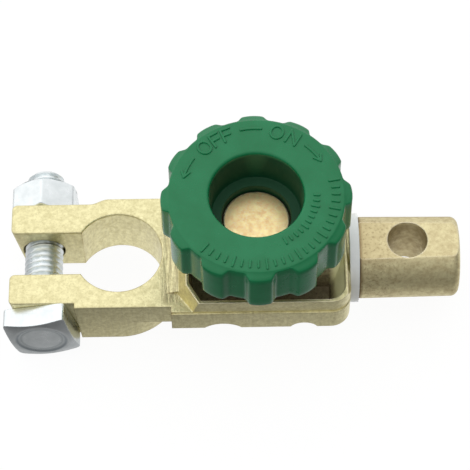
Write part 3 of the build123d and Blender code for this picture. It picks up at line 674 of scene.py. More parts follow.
def build_contact_screw(sizes, knob):
    """The contact screw: riveted tip, dog, thread, the hexagon in the knob and the bright face."""
    angles = np.linspace(0, tau, SCREW_COLUMNS, endpoint=False)
    low, high = SCREW_LOW.z, SCREW_HIGH.z
    pad_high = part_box("contact_pad")[1].z
    thread_low, dog_low = pad_high + DOG_HEIGHT, pad_high + PAD_FIT
    rivet_high = low + RIVET_HEIGHT
    hex_low, hex_high = KNOB_LOW.z, KNOB_LOW.z + knob.hex_height
    hexagon = polygon_radius(angles, 6, knob.hex_inner_r, HEX_CORNER_R, pi / 6) - HEX_FIT
    lower = [(0.0, low), (RIVET_R - RIVET_CHAMFER, low), (RIVET_R, low + RIVET_CHAMFER),
             (RIVET_R, rivet_high), (SPIGOT_R, rivet_high), (SPIGOT_R, dog_low), (DOG_R, dog_low),
             (DOG_R, thread_low)]
    turns = (hex_low - thread_low) / sizes.pitch
    heights = np.linspace(thread_low, hex_low, int(turns * SCREW_ROWS_PER_PITCH))
    thread = thread_radius(heights, angles, sizes.thread_r, sizes.thread_depth, sizes.pitch)
    lead_in = sizes.thread_r - THREAD_LEAD_IN + (heights - thread_low)[:, None]
    upper = [(hexagon, hex_low), (hexagon, hex_high), (sizes.face_r, hex_high)]
    upper += [(sizes.face_r - way * MM, high - drop * MM) for way, drop in FACE_EDGE]
    upper += [(sizes.face_r * 0.5, high), (0.0, high)]
    shank = around(np.minimum(thread, lead_in), heights[:, None], angles)
    whole = np.concatenate([rows_to_grid(lower, angles), shank, rows_to_grid(upper, angles)])
    place = np.array([SCREW_AXIS.x, SCREW_AXIS.y, 0.0])
    return make_piece("contact_screw_threaded", [(whole + place, False, True)], 50.0)


def new_node(tree, kind, inputs=None, **settings):
    """Adds a node, sets its own settings and the values of its inputs, and returns it."""
    node = tree.nodes.new(kind)
    for name, value in settings.items():
        setattr(node, name, value)
    for name, value in (inputs or {}).items():
        node.inputs[name].default_value = value
    return node


def join(tree, *joins):
    """Links sockets, each pair given as (node, its output, node, its input)."""
    for source, output, target, socket in joins:
        tree.links.new(source.outputs[output], target.inputs[socket])


FLOAT, VECTOR = "NodeSocketFloat", "NodeSocketVector"


def new_group(name, inputs, outputs):
    """An empty shader node group with named sockets, given as (name, kind, default)."""
    group = bpy.data.node_groups.new(name, "ShaderNodeTree")
    for socket, kind, default in inputs:
        made = group.interface.new_socket(socket, in_out="INPUT", socket_type=kind)
        if default is not None:
            made.default_value = default
    for socket, kind in outputs:
        group.interface.new_socket(socket, in_out="OUTPUT", socket_type=kind)
    return group, group.nodes.new("NodeGroupInput"), group.nodes.new("NodeGroupOutput")


def grain_group():
    """Grain of a skin: a height from fine and coarse noise, and masks of patches and specks."""
    group, given, out = new_group(
        "skin_grain",
        [("Vector", VECTOR, None), ("Fine per mm", FLOAT, 3.0), ("Coarse per mm", FLOAT, 0.8),
         ("Coarse share", FLOAT, 0.4), ("Patches per mm", FLOAT, 0.25)],
        [("Height", FLOAT), ("Patches", FLOAT), ("Specks", FLOAT)],
    )
    fine = new_node(group, "ShaderNodeTexNoise", {"Detail": 3.0, "Roughness": 0.6})
    coarse = new_node(group, "ShaderNodeTexNoise", {"Detail": 2.0})
    patches = new_node(group, "ShaderNodeTexNoise", {"Detail": 4.0, "Roughness": 0.62})
    height = new_node(group, "ShaderNodeMix", data_type="FLOAT")
    soft = new_node(group, "ShaderNodeMapRange", {"From Min": 0.36, "From Max": 0.66})
    specks = new_node(group, "ShaderNodeMapRange", {"From Min": 0.53, "From Max": 0.66})
    join(group,
         (given, "Vector", fine, "Vector"), (given, "Fine per mm", fine, "Scale"),
         (given, "Vector", coarse, "Vector"), (given, "Coarse per mm", coarse, "Scale"),
         (given, "Vector", patches, "Vector"), (given, "Patches per mm", patches, "Scale"),
         (given, "Coarse share", height, "Factor"), (fine, "Fac", height, "A"),
         (coarse, "Fac", height, "B"), (patches, "Fac", soft, "Value"),
         (fine, "Fac", specks, "Value"), (height, "Result", out, "Height"),
         (soft, "Result", out, "Patches"), (specks, "Result", out, "Specks"))


def streaks_group():
    """Tool marks: a mask of lines, from noise with its own count per millimetre along each axis."""
    group, given, out = new_group(
        "tool_marks",
        [("Vector", VECTOR, None), ("Per mm", VECTOR, (3.0, 0.1, 3.0))],
        [("Lines", FLOAT)],
    )
    stretch = new_node(group, "ShaderNodeVectorMath", operation="MULTIPLY")
    noise = new_node(group, "ShaderNodeTexNoise", {"Scale": 1.0, "Detail": 3.0, "Roughness": 0.65})
    lines = new_node(group, "ShaderNodeMapRange", {"From Min": 0.42, "From Max": 0.62})
    join(group,
         (given, "Vector", stretch, 0), (given, "Per mm", stretch, 1),
         (stretch, "Vector", noise, "Vector"), (noise, "Fac", lines, "Value"),
         (lines, "Result", out, "Lines"))


def edges_group():
    """Edges rounded by a radius, and a mask of them.

    The mask is how far the rounded normal leaves the surface's own. Noise breaks it up, so that
    the brown film and the painted highlight that it carries are thicker here and thinner there.
    """
    group, given, out = new_group(
        "edge_film_and_highlight",
        [("Vector", VECTOR, None), ("Radius", FLOAT, 0.0003), ("Breaks per mm", FLOAT, 0.7)],
        [("Normal", VECTOR), ("Edge", FLOAT)],
    )
    bevel = new_node(group, "ShaderNodeBevel", samples=6)
    own = new_node(group, "ShaderNodeNewGeometry")
    dot = new_node(group, "ShaderNodeVectorMath", operation="DOT_PRODUCT")
    away = new_node(group, "ShaderNodeMapRange", {"From Min": 0.995, "From Max": 0.9})
    noise = new_node(group, "ShaderNodeTexNoise", {"Detail": 3.0})
    breaks = new_node(group, "ShaderNodeMapRange",
                      {"From Min": 0.38, "From Max": 0.58, "To Min": 0.35})
    film = new_node(group, "ShaderNodeMath", operation="MULTIPLY")
    join(group,
         (given, "Radius", bevel, "Radius"), (bevel, "Normal", dot, 0), (own, "Normal", dot, 1),
         (dot, "Value", away, "Value"), (given, "Vector", noise, "Vector"),
         (given, "Breaks per mm", noise, "Scale"), (noise, "Fac", breaks, "Value"),
         (away, "Result", film, 0), (breaks, "Result", film, 1),
         (bevel, "Normal", out, "Normal"), (film, "Value", out, "Edge"))


def block_group():
    """Mask of a block between two corners: 1 inside, and 0 from its faces out.

    It rises over the soft width from the nearest face, which is the least of the distances.
    """
    group, given, out = new_group(
        "block_mask",
        [("Vector", VECTOR, None), ("Low", VECTOR, (0.0, 0.0, 0.0)),
         ("High", VECTOR, (1.0, 1.0, 1.0)), ("Soft", FLOAT, 0.4)],
        [("Mask", FLOAT)],
    )
    over = new_node(group, "ShaderNodeVectorMath", operation="SUBTRACT")
    under = new_node(group, "ShaderNodeVectorMath", operation="SUBTRACT")
    least = new_node(group, "ShaderNodeVectorMath", operation="MINIMUM")
    axes = new_node(group, "ShaderNodeSeparateXYZ")
    plan = new_node(group, "ShaderNodeMath", operation="MINIMUM")
    depth = new_node(group, "ShaderNodeMath", operation="MINIMUM")
    mask = new_node(group, "ShaderNodeMapRange", {"From Min": 0.0})
    join(group,
         (given, "Vector", over, 0), (given, "Low", over, 1),
         (given, "High", under, 0), (given, "Vector", under, 1),
         (over, "Vector", least, 0), (under, "Vector", least, 1), (least, "Vector", axes, "Vector"),
         (axes, "X", plan, 0), (axes, "Y", plan, 1),
         (plan, "Value", depth, 0), (axes, "Z", depth, 1),
         (depth, "Value", mask, "Value"), (given, "Soft", mask, "From Max"),
         (mask, "Result", out, "Mask"))


class Finish:
    """A material under construction: its tree, its shader and the object's place in millimetres."""

    def __init__(self, name, **values):
        self.material = bpy.data.materials.new(name)
        self.material.use_nodes = True
        self.tree = self.material.node_tree
        self.shader = self.tree.nodes["Principled BSDF"]
        for socket, value in values.items():
            self.shader.inputs[socket.replace("_", " ")].default_value = value
        place = new_node(self.tree, "ShaderNodeTexCoord")
        scale = (1 / MM, 1 / MM, 1 / MM)
        self.millimetres = new_node(self.tree, "ShaderNodeMapping", {"Scale": scale})
        join(self.tree, (place, "Object", self.millimetres, "Vector"))

    def link(self, source, target):
        """Joins two sockets."""
        self.tree.links.new(source, target)

    def feed(self, node, values):
        """Gives a node's inputs, in their order, a number or a socket each."""
        for socket, value in zip(node.inputs, values):
            if isinstance(value, bpy.types.NodeSocket):
                self.link(value, socket)
            else:
                socket.default_value = value

    def place_group(self, name, **values):
        """Places one of the shared groups with its own values, on the millimetre coordinates."""
        node = new_node(self.tree, "ShaderNodeGroup", node_tree=bpy.data.node_groups[name])
        for socket, value in values.items():
            node.inputs[socket.replace("_", " ")].default_value = value
        join(self.tree, (self.millimetres, "Vector", node, "Vector"))
        return node.outputs

    def grain(self, fine, coarse, coarse_share, patches):
        """The skin's grain, its three noises given as counts per millimetre."""
        return self.place_group("skin_grain", Fine_per_mm=fine, Coarse_per_mm=coarse,
                                Coarse_share=coarse_share, Patches_per_mm=patches)

    def edges(self, radius_mm, breaks):
        """The rounded edges and their mask, broken so many times in a millimetre."""
        return self.place_group("edge_film_and_highlight", Radius=radius_mm * MM, Breaks_per_mm=breaks)

    def marks(self, per_mm):
        """Mask of tool marks with these counts per millimetre along the axes."""
        return self.place_group("tool_marks", Per_mm=per_mm)["Lines"]

    def block(self, low, high, soft):
        """Mask of a block between two corners in millimetres."""
        return self.place_group("block_mask", Low=low, High=high, Soft=soft)["Mask"]

    def mix_colour(self, factor, first, second):
        """A colour between two, each a colour or a socket, by a mask."""
        mix = new_node(self.tree, "ShaderNodeMix", data_type="RGBA")
        self.link(factor, mix.inputs["Factor"])
        for name, value in (("A", first), ("B", second)):
            socket = [s for s in mix.inputs if s.name == name and s.type == "RGBA"][0]
            if isinstance(value, bpy.types.NodeSocket):
                self.link(value, socket)
            else:
                socket.default_value = (*value, 1.0)
        return [s for s in mix.outputs if s.type == "RGBA"][0]

    def map_range(self, value, low, high, new_low=0.0, new_high=1.0):
        """A value taken from one range to another, and held within it."""
        node = new_node(self.tree, "ShaderNodeMapRange")
        self.feed(node, (value, low, high, new_low, new_high))
        return node.outputs["Result"]

    def fade(self, mask, at_none, at_full):
        """A mask made weaker, stronger or reversed: its values at 0 and at 1."""
        return self.map_range(mask, 0.0, 1.0, at_none, at_full)

    def along(self, axis, low, high, at_low=0.0, at_high=1.0):
        """A value that changes along an axis between two places in millimetres."""
        return self.map_range(self.axis(axis), low, high, at_low, at_high)

    def combine(self, operation, first, second=0.0):
        """One of Blender's sums of two values, each a number or a socket."""
        node = new_node(self.tree, "ShaderNodeMath", operation=operation)
        self.feed(node, (first, second))
        return node.outputs["Value"]

    def times(self, first, second):
        """The product of two values."""
        return self.combine("MULTIPLY", first, second)

    def most(self, first, second):
        """The greater of two values."""
        return self.combine("MAXIMUM", first, second)

    def axis(self, name):
        """The place along one axis in millimetres."""
        node = new_node(self.tree, "ShaderNodeSeparateXYZ")
        join(self.tree, (self.millimetres, "Vector", node, "Vector"))
        return node.outputs[name]

    def ring(self, centre, across, radius, half_width):
        """Mask of a ring about an axis: 1 at its radius, falling to 0 at its half width."""
        away = new_node(self.tree, "ShaderNodeVectorMath", {1: centre}, operation="SUBTRACT")
        plan = new_node(self.tree, "ShaderNodeVectorMath", {1: across}, operation="MULTIPLY")
        reach = new_node(self.tree, "ShaderNodeVectorMath", operation="LENGTH")
        join(self.tree, (self.millimetres, "Vector", away, 0), (away, "Vector", plan, 0),
             (plan, "Vector", reach, 0))
        off = self.combine("ABSOLUTE", self.combine("SUBTRACT", reach.outputs["Value"], radius))
        return self.map_range(off, 0.0, half_width, 1.0, 0.0)

    def bump(self, height, depth_mm, normal=None):
        """Bump of a given depth, over the given normal."""
        bump = new_node(self.tree, "ShaderNodeBump", {"Distance": depth_mm * MM, "Strength": 1.0})
        self.link(height, bump.inputs["Height"])
        if normal is not None:
            self.link(normal, bump.inputs["Normal"])
        join(self.tree, (bump, "Normal", self.shader, "Normal"))

    def surface(self, colour, roughness):
        """Sets what the shader takes from masks: its colour and its roughness."""
        self.link(colour, self.shader.inputs["Base Color"])
        self.link(roughness, self.shader.inputs["Roughness"])


# The axes that a ring about Z, and one about Y, spreads over
ABOUT_Z = (1.0, 1.0, 0.0)
ABOUT_Y = (1.0, 0.0, 1.0)
# Two corners, in millimetres
TRAY_BLOCK = ((14.3, -13.8, 9.4), (46.9, 13.8, 16.65))
RAMP_BLOCK = ((8.4, -12.6, 9.0), (13.4, 12.6, 16.0))
# Weights of a place's x and of its distance from the middle plane at the tray's left corners
LEFT_CORNER = (0.861, 0.509)
# Counts per millimetre along the axes
SIDE_MARKS = (1.8, 1.8, 0.3)
MILL_MARKS = (3.0, 0.16, 3.0)


def tray_masks(finish):
    """Masks of the tray's inside, painted in shade, and of its right slope's painted highlight.

    The inside is a block less its four corners. At each corner a weighted sum of a place's x and
    its distance from the middle plane tells the inside from the outside.
    """
    x, off_middle = finish.axis("X"), finish.combine("ABSOLUTE", finish.axis("Y"))
    left = finish.combine("SUBTRACT", finish.times(x, LEFT_CORNER[0]),
                          finish.times(off_middle, LEFT_CORNER[1]))
    right = finish.combine("ADD", x, off_middle)
    inside = finish.times(finish.block(*TRAY_BLOCK, soft=0.4), finish.map_range(left, 7.35, 7.6))
    inside = finish.times(inside, finish.map_range(right, 58.3, 58.7, 1.0, 0.0))
    return inside, finish.times(finish.along("X", 43.2, 44.6), finish.along("Z", 10.4, 12.8))


def cast_brass(colours):
    """Bead-blasted brass casting, cloudy and brown at its edges, its tray in painted shade."""
    finish = Finish("blasted_brass", Metallic=1.0)
    grain = finish.grain(fine=2.3, coarse=0.9, coarse_share=0.35, patches=1.1)
    edges = finish.edges(radius_mm=0.36, breaks=0.7)
    tone = finish.mix_colour(finish.fade(grain["Patches"], 0.0, 0.65), colours.cast_brass,
                             colours.cast_shade)
    tone = finish.mix_colour(finish.fade(grain["Specks"], 0.0, 0.6), tone, colours.cast_shade)
    on_sides = finish.times(finish.marks(SIDE_MARKS), finish.along("Z", 12.4, 12.9, 1.0, 0.0))
    tone = finish.mix_colour(finish.times(on_sides, 0.2), tone, colours.tray_shade_and_marks)
    on_ramp = finish.times(finish.block(*RAMP_BLOCK, soft=1.4), finish.marks(MILL_MARKS))
    tone = finish.mix_colour(finish.times(on_ramp, 0.8), tone, colours.tray_shade_and_marks)
    # The film is brown on the clamp's edges and faint beyond them
    film = finish.times(edges["Edge"], finish.along("X", 10.8, 12.4, 0.95, 0.15))
    tone = finish.mix_colour(film, tone, colours.cast_tarnish)
    inside, slope = tray_masks(finish)
    # The tray's inside gets painted shade, where the knob's shadow falls, with darker spots
    spots = finish.most(grain["Specks"], finish.times(grain["Patches"], 0.6))
    dirt = finish.mix_colour(spots, colours.tray_shade_and_marks, colours.tray_spots_and_shade)
    # Painted shade deepening towards the tray's floor
    dirt = finish.mix_colour(finish.along("Z", 10.6, 11.4, 0.55, 0.0), dirt, colours.tray_spots_and_shade)
    tone = finish.mix_colour(finish.times(inside, finish.fade(slope, 1.0, 0.0)), tone, dirt)
    # A painted highlight on the upper part of the tray's right slope
    slope_highlight = finish.times(finish.times(inside, slope), 0.8)
    tone = finish.mix_colour(slope_highlight, tone, colours.slope_painted_highlight)
    # Dust takes away some of the metal's mirror, most of all on the slope with the painted
    # highlight
    dusty = finish.times(inside, finish.fade(slope, 0.5, 0.95))
    finish.link(finish.fade(dusty, 1.0, 0.0), finish.shader.inputs["Metallic"])
    # A painted highlight along the tray's rim
    rim = finish.times(edges["Edge"], finish.along("Z", 16.0, 16.5))
    tone = finish.mix_colour(rim, tone, colours.edge_highlight_and_specks)
    finish.surface(tone, finish.fade(grain["Patches"], 0.36, 0.48))
    height = finish.combine("ADD", grain["Height"], finish.times(on_ramp, 0.5))
    finish.bump(height, depth_mm=0.08, normal=edges["Normal"])
    return finish.material


def terminal_brass(colours):
    """Forged brass, speckled at the insulator; painted highlight on its flat's edges, others brown.
    """
    finish = Finish("forged_brass", Metallic=1.0)
    grain = finish.grain(fine=1.8, coarse=0.7, coarse_share=0.45, patches=0.8)
    edges = finish.edges(radius_mm=0.5, breaks=0.8)
    rough_end = finish.along("X", 51.0, 60.0, 1.0, 0.35)
    flat = finish.along("Z", 15.6, 16.3)
    tone = finish.mix_colour(finish.fade(grain["Patches"], 0.0, 0.75), colours.terminal_brass,
                             colours.terminal_patches_and_shade)
    # Painted shade on the flat, deepest at its left end
    flat_shade = finish.times(flat, finish.along("X", 50.0, 60.0, 0.85, 0.25))
    tone = finish.mix_colour(flat_shade, tone, colours.terminal_patches_and_shade)
    specks = finish.times(finish.times(grain["Specks"], rough_end), 0.6)
    tone = finish.mix_colour(specks, tone, colours.terminal_tarnish_and_shade)
    brown = finish.times(edges["Edge"], finish.fade(flat, 0.7, 0.1))
    # Painted shade at the barrel's left end, low on its sides, on its rear side and in the cable
    # hole
    left_end_shade = finish.along("X", BARREL_LEFT + 0.2, BARREL_LEFT + 0.9, 0.9, 0.0)
    low_side_shade = finish.along("Z", 2.0, 7.5, 0.35, 0.0)
    rear_side_shade = finish.times(finish.along("Y", 5.6, 6.4, 0.0, 0.4),
                             finish.along("Z", 10.0, 14.0, 0.2, 1.0))
    hole = finish.ring((CABLE_HOLE_X, 0.0, 0.0), ABOUT_Z, CABLE_HOLE_R, half_width=0.4)
    hole = finish.times(hole, finish.fade(flat, 0.42, 0.0))
    for stain in (left_end_shade, low_side_shade, rear_side_shade, hole):
        brown = finish.most(brown, stain)
    tone = finish.mix_colour(brown, tone, colours.terminal_tarnish_and_shade)
    # A painted highlight along the flat's edges
    tone = finish.mix_colour(finish.times(edges["Edge"], flat), tone, colours.edge_highlight_and_specks)
    finish.surface(tone, finish.combine("SUBTRACT", finish.fade(grain["Patches"], 0.5, 0.6),
                                        finish.times(flat, 0.16)))
    finish.bump(grain["Height"], depth_mm=0.1, normal=edges["Normal"])
    return finish.material


def round_block(finish, reach, low, high, soft):
    """Mask of a block about the screw's axis, from one height to another, in millimetres."""
    centre = SCREW_AXIS.x / MM
    return finish.block((centre - reach, -reach, low), (centre + reach, reach, high), soft)


# Radius in millimetres of the painted highlight round the screw's face
STUD_RIM_R = 6.6


def bright_brass(colours):
    """Faced-off screw brass, clouded gold and copper by tarnish; painted highlights and shade."""
    finish = Finish("bright_brass", Metallic=1.0)
    grain = finish.grain(fine=2.4, coarse=0.7, coarse_share=0.6, patches=0.9)
    edges = finish.edges(radius_mm=0.2, breaks=0.5)
    tone = finish.mix_colour(grain["Patches"], colours.stud_gold, colours.stud_copper)
    # Painted highlights on the face's rim and edges, and lighter specks
    rim = finish.ring((SCREW_AXIS.x / MM, 0.0, 0.0), ABOUT_Z, STUD_RIM_R, half_width=0.35)
    for worn in (rim, finish.times(grain["Specks"], 0.5), edges["Edge"]):
        tone = finish.mix_colour(worn, tone, colours.edge_highlight_and_specks)
    top = SCREW_HIGH.z / MM
    # Painted shade in the gap round the face
    gap = round_block(finish, reach=7.6, low=top - 1.0, high=top - 0.12, soft=0.15)
    tone = finish.mix_colour(gap, tone, colours.gap_shade)
    finish.surface(tone, finish.fade(grain["Patches"], 0.42, 0.55))
    finish.bump(grain["Height"], depth_mm=0.05, normal=edges["Normal"])
    return finish.material


# Radius and half width of the rings of painted shade round the dish of the bolt's head
LIGHT_RING = (4.25, 0.45)
DARK_RING = (5.0, 0.5)


def painted_dish_rings(finish, tone, light, dark):
    """Painted shade on the bolt head's face round its dish: a lighter ring in a dark one."""
    middle = (BOLT_LOW + BOLT_HIGH) / 2 / MM
    centre = (middle.x, 0.0, middle.z)
    face = BOLT_LOW.y / MM
    on_face = finish.along("Y", face + 0.5, face + 0.9, 1.0, 0.0)
    for ring, shade in ((DARK_RING, dark), (LIGHT_RING, light)):
        mask = finish.times(finish.ring(centre, ABOUT_Y, *ring), on_face)
        tone = finish.mix_colour(mask, tone, shade)
    return tone


def plated_metal(name, base, shade, roughness, ring_colour=None):
    """Bright plating over steel or copper, with a faint cloud in its tone and its shine."""
    finish = Finish(name, Metallic=1.0)
    grain = finish.grain(fine=2.5, coarse=0.7, coarse_share=0.5, patches=0.5)
    edges = finish.edges(radius_mm=0.18, breaks=0.8)
    film = finish.most(finish.times(grain["Patches"], 0.3), finish.times(edges["Edge"], 0.8))
    tone = finish.mix_colour(film, base, shade)
    # Rings of painted shade round the dish of the bolt's head
    if ring_colour:
        tone = painted_dish_rings(finish, tone, shade, ring_colour)
    finish.surface(tone, finish.fade(grain["Patches"], roughness - 0.05, roughness + 0.08))
    finish.bump(grain["Height"], depth_mm=0.025, normal=edges["Normal"])
    return finish.material


def green_plastic(colours):
    """Moulded plastic, semi gloss, faintly clouded, in painted shade and duller in the well."""
    finish = Finish("moulded_green", IOR=1.4)
    grain = finish.grain(fine=2.0, coarse=0.35, coarse_share=0.7, patches=0.14)
    top = KNOB_HIGH.z / MM
    # Painted shade on the well's wall and shelf
    well = round_block(finish, reach=9.9, low=20.0, high=top - 0.5, soft=0.9)
    tone = finish.mix_colour(finish.fade(grain["Patches"], 0.0, 0.7), colours.green,
                             colours.green_light)
    tone = finish.mix_colour(well, tone, colours.green_well_shade)
    finish.surface(tone, finish.combine("ADD", finish.fade(grain["Patches"], 0.22, 0.3),
                                        finish.times(well, 0.35)))
    finish.bump(grain["Height"], depth_mm=0.03)
    return finish.material


def natural_nylon(colours):
    """Natural nylon: pale, satin and a little cloudy."""
    finish = Finish("natural_nylon", IOR=1.53, Subsurface_Weight=0.15,
                    Subsurface_Radius=(0.8, 0.8, 0.8), Subsurface_Scale=0.4 * MM)
    grain = finish.grain(fine=1.5, coarse=0.4, coarse_share=0.6, patches=0.2)
    finish.surface(finish.mix_colour(grain["Patches"], colours.nylon, colours.nylon_shade),
                   finish.fade(grain["Patches"], 0.38, 0.5))
    finish.bump(grain["Height"], depth_mm=0.02)
    return finish.material


def dress(node, material):
    """Gives a solid of the frame its material."""
    materials = frame["nodes"][node].data.materials
    materials.clear()
    materials.append(material)


def finish_piece(piece, body, nodes, material):
    """Gives a new piece its material and slot, stands it for its solids and sets it on its body."""
    piece.data.materials.append(material)
    if nodes:
        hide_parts(*nodes)
    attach(piece, body)


class SWITCH_OT_finishes(bpy.types.Operator):
    """Make the materials and give them to the casting, the terminal and the insulating pieces"""

    bl_idname = "switch.finishes"
    bl_label = "Finish the Solids"

    def execute(self, context):
        colours = context.scene.switch_colours
        for make_group in (grain_group, streaks_group, edges_group, block_group):
            make_group()
        cast = cast_brass(colours)
        terminal = terminal_brass(colours)
        bright_brass(colours)
        silver = plated_metal("silvered_contact", colours.silver, colours.silver_shade, 0.3)
        plated_metal("bright_zinc", colours.zinc, colours.zinc_film_and_shade, 0.32, colours.zinc_dish_shade)
        green_plastic(colours)
        pale = natural_nylon(colours)
        dress("clamp_body", cast)
        dress("cable_terminal", terminal)
        dress("contact_pad", silver)
        for node in ("insulating_bush", "insulating_cup", "locating_screw"):
            dress(node, pale)
        return {"FINISHED"}


class SWITCH_OT_knob(bpy.types.Operator):
    """Build the moulded knob"""

    bl_idname = "switch.knob"
    bl_label = "Build the Knob"

    def execute(self, context):
        piece = build_knob(context.scene.switch_knob)
        green = bpy.data.materials["moulded_green"]
        finish_piece(piece, "knob", ["knob"], green)
        return {"FINISHED"}


class SWITCH_OT_marks(bpy.types.Operator):
    """Build the raised marks on the knob"""

    bl_idname = "switch.marks"
    bl_label = "Build the Knob's Marks"

    def execute(self, context):
        piece = build_marks(context.scene.switch_marks, context.scene.switch_knob)
        green = bpy.data.materials["moulded_green"]
        finish_piece(piece, "knob", [], green)
        return {"FINISHED"}


class SWITCH_OT_contact_screw(bpy.types.Operator):
    """Build the contact screw with its thread"""

    bl_idname = "switch.contact_screw"
    bl_label = "Build the Contact Screw"

    def execute(self, context):
        piece = build_contact_screw(context.scene.switch_contact_screw, context.scene.switch_knob)
        brass = bpy.data.materials["bright_brass"]
        finish_piece(piece, "knob", ["contact_screw"], brass)
        return {"FINISHED"}


class SWITCH_OT_fasteners(bpy.types.Operator):
    """Build the clamp bolt and its nut"""

    bl_idname = "switch.fasteners"
    bl_label = "Build the Clamp Bolt and Nut"

    def execute(self, context):
        sizes = context.scene.switch_fasteners
        zinc = bpy.data.materials["bright_zinc"]
        finish_piece(build_bolt(sizes), "base", ["clamp_bolt"], zinc)
        finish_piece(build_nut(sizes), "base", ["clamp_nut"], zinc)
        return {"FINISHED"}


FLOOR_SIZE = 6.0
FLOOR_GAP = 0.0002
FLOOR_PAINT = (0.88, 0.88, 0.87, 1.0)
WHITE = (1.0, 1.0, 1.0, 1.0)
WHITE_STRENGTH = 1.03
MOST_GLOW = 1.0
# How bright the floor is to the part, as (y in millimetres, brightness), from front to rear
FLOOR_GLOW = ((-36.0, 0.12), (-28.0, 0.24), (-21.0, 0.34), (-18.0, 0.48), (-15.0, 0.5),
              (-8.0, 0.85), (0.0, 0.85), (6.0, 1.0))
# The factor of that glow, as (x in millimetres, factor), from the clamp to the cable terminal
FLOOR_SIDES = ((-25.0, 0.78), (35.0, 1.35))


def floor_material(stage):
    """A light table: white paint and mostly pure white to the camera, and to the part a glow.

    The glow follows a curve over y, times a factor that rises with x, and is never over 1.
    """
    material = bpy.data.materials.new("floor_white")
    material.use_nodes = True
    tree = material.node_tree
    tree.nodes.clear()
    first, last = FLOOR_GLOW[0][0], FLOOR_GLOW[-1][0]
    (left, left_factor), (right, right_factor) = FLOOR_SIDES
    paint = new_node(tree, "ShaderNodeBsdfDiffuse", {"Color": FLOOR_PAINT})
    white = new_node(tree, "ShaderNodeEmission", {"Color": WHITE, "Strength": WHITE_STRENGTH})
    glow = new_node(tree, "ShaderNodeEmission", {"Color": WHITE})
    place = new_node(tree, "ShaderNodeTexCoord")
    axes = new_node(tree, "ShaderNodeSeparateXYZ")
    rise = new_node(tree, "ShaderNodeMapRange", {"From Min": first * MM, "From Max": last * MM})
    sides = new_node(tree, "ShaderNodeMapRange",
                     {"From Min": left * MM, "From Max": right * MM,
                      "To Min": left_factor, "To Max": right_factor})
    level = new_node(tree, "ShaderNodeMath", operation="MULTIPLY")
    limit = new_node(tree, "ShaderNodeMath", {1: MOST_GLOW}, operation="MINIMUM")
    path = new_node(tree, "ShaderNodeLightPath")
    seen = new_node(tree, "ShaderNodeMixShader", {"Fac": stage.floor_white})
    mix = new_node(tree, "ShaderNodeMixShader")
    out = new_node(tree, "ShaderNodeOutputMaterial")
    ramp = new_node(tree, "ShaderNodeValToRGB")
    ramp.color_ramp.interpolation = "B_SPLINE"
    stops = ramp.color_ramp.elements
    for index, (y, bright) in enumerate(FLOOR_GLOW):
        place_on_ramp = (y - first) / (last - first)
        stop = stops[index] if index < 2 else stops.new(place_on_ramp)
        stop.position = place_on_ramp
        stop.color = (bright, bright, bright, 1.0)
    join(tree,
         (place, "Object", axes, "Vector"), (axes, "Y", rise, "Value"),
         (rise, "Result", ramp, "Fac"), (axes, "X", sides, "Value"),
         (ramp, "Color", level, 0), (sides, "Result", level, 1), (level, "Value", limit, 0),
         (limit, "Value", glow, "Strength"), (paint, "BSDF", seen, 1), (white, "Emission", seen, 2),
         (path, "Is Camera Ray", mix, "Fac"), (glow, "Emission", mix, 1), (seen, "Shader", mix, 2),
         (mix, "Shader", out, "Surface"))
    return material


def build_floor(stage):
    """A wide square under the lowest point of the part."""
    half = FLOOR_SIZE / 2
    edge = np.linspace(-half, half, 3)
    x, y = np.meshgrid(edge, edge, indexing="ij")
    grid = np.stack([x, y, np.full_like(x, CAD_BOX[0][2] - FLOOR_GAP)], axis=-1)
    floor = make_piece("floor", [(grid, False, False)])
    floor.data.materials.append(floor_material(stage))


# The middle of the room's light side, and the cosines at which its brightness is least and most
LIGHT_SIDE = (-0.45, 0.5, 0.74)
ROOM_COSINES = (-0.35, 0.75)


def build_world(stage):
    """White to the camera, and to the object a room that is light above, behind and to the left.

    Its brightness follows the cosine between a direction and the light side's middle.
    """
    world = bpy.data.worlds.new("studio")
    bpy.context.scene.world = world
    world.use_nodes = True
    tree = world.node_tree
    tree.nodes.clear()
    middle = Vector(LIGHT_SIDE).normalized()
    path = new_node(tree, "ShaderNodeLightPath")
    way = new_node(tree, "ShaderNodeTexCoord")
    toward = new_node(tree, "ShaderNodeVectorMath", {1: middle}, operation="DOT_PRODUCT")
    room = new_node(tree, "ShaderNodeMapRange",
                    {"From Min": ROOM_COSINES[0], "From Max": ROOM_COSINES[1],
                     "To Min": stage.dome_dim, "To Max": stage.dome_bright},
                    interpolation_type="SMOOTHSTEP")
    strength = new_node(tree, "ShaderNodeMix", {"B": 1.0}, data_type="FLOAT")
    glow = new_node(tree, "ShaderNodeBackground", {"Color": WHITE})
    out = new_node(tree, "ShaderNodeOutputWorld")
    join(tree,
         (way, "Generated", toward, 0), (toward, "Value", room, "Value"),
         (path, "Is Camera Ray", strength, "Factor"), (room, "Result", strength, "A"),
         (strength, "Result", glow, "Strength"), (glow, "Background", out, "Surface"))


KEY_DIRECTION = (-0.25, 0.3, 1.0)
KEY_DISTANCE = 0.7
KEY_WIDTH, KEY_HEIGHT = 0.7, 0.45


def build_key_lamp(radiance):
    """A rectangular lamp overhead that faces the part, set by the brightness of its face."""
    lamp = bpy.data.lights.new("key_lamp", "AREA")
    lamp.shape = "RECTANGLE"
    lamp.size = KEY_WIDTH
    lamp.size_y = KEY_HEIGHT
    lamp.energy = radiance * pi * KEY_WIDTH * KEY_HEIGHT
    centre = (Vector(CAD_BOX[0]) + Vector(CAD_BOX[1])) / 2
    way = Vector(KEY_DIRECTION).normalized()
    lamp_object = bpy.data.objects.new("key_lamp", lamp)
    lamp_object.rotation_euler = way.to_track_quat("Z", "Y").to_euler()
    lamp_object.location = centre + way * KEY_DISTANCE
    bpy.context.scene.collection.objects.link(lamp_object)


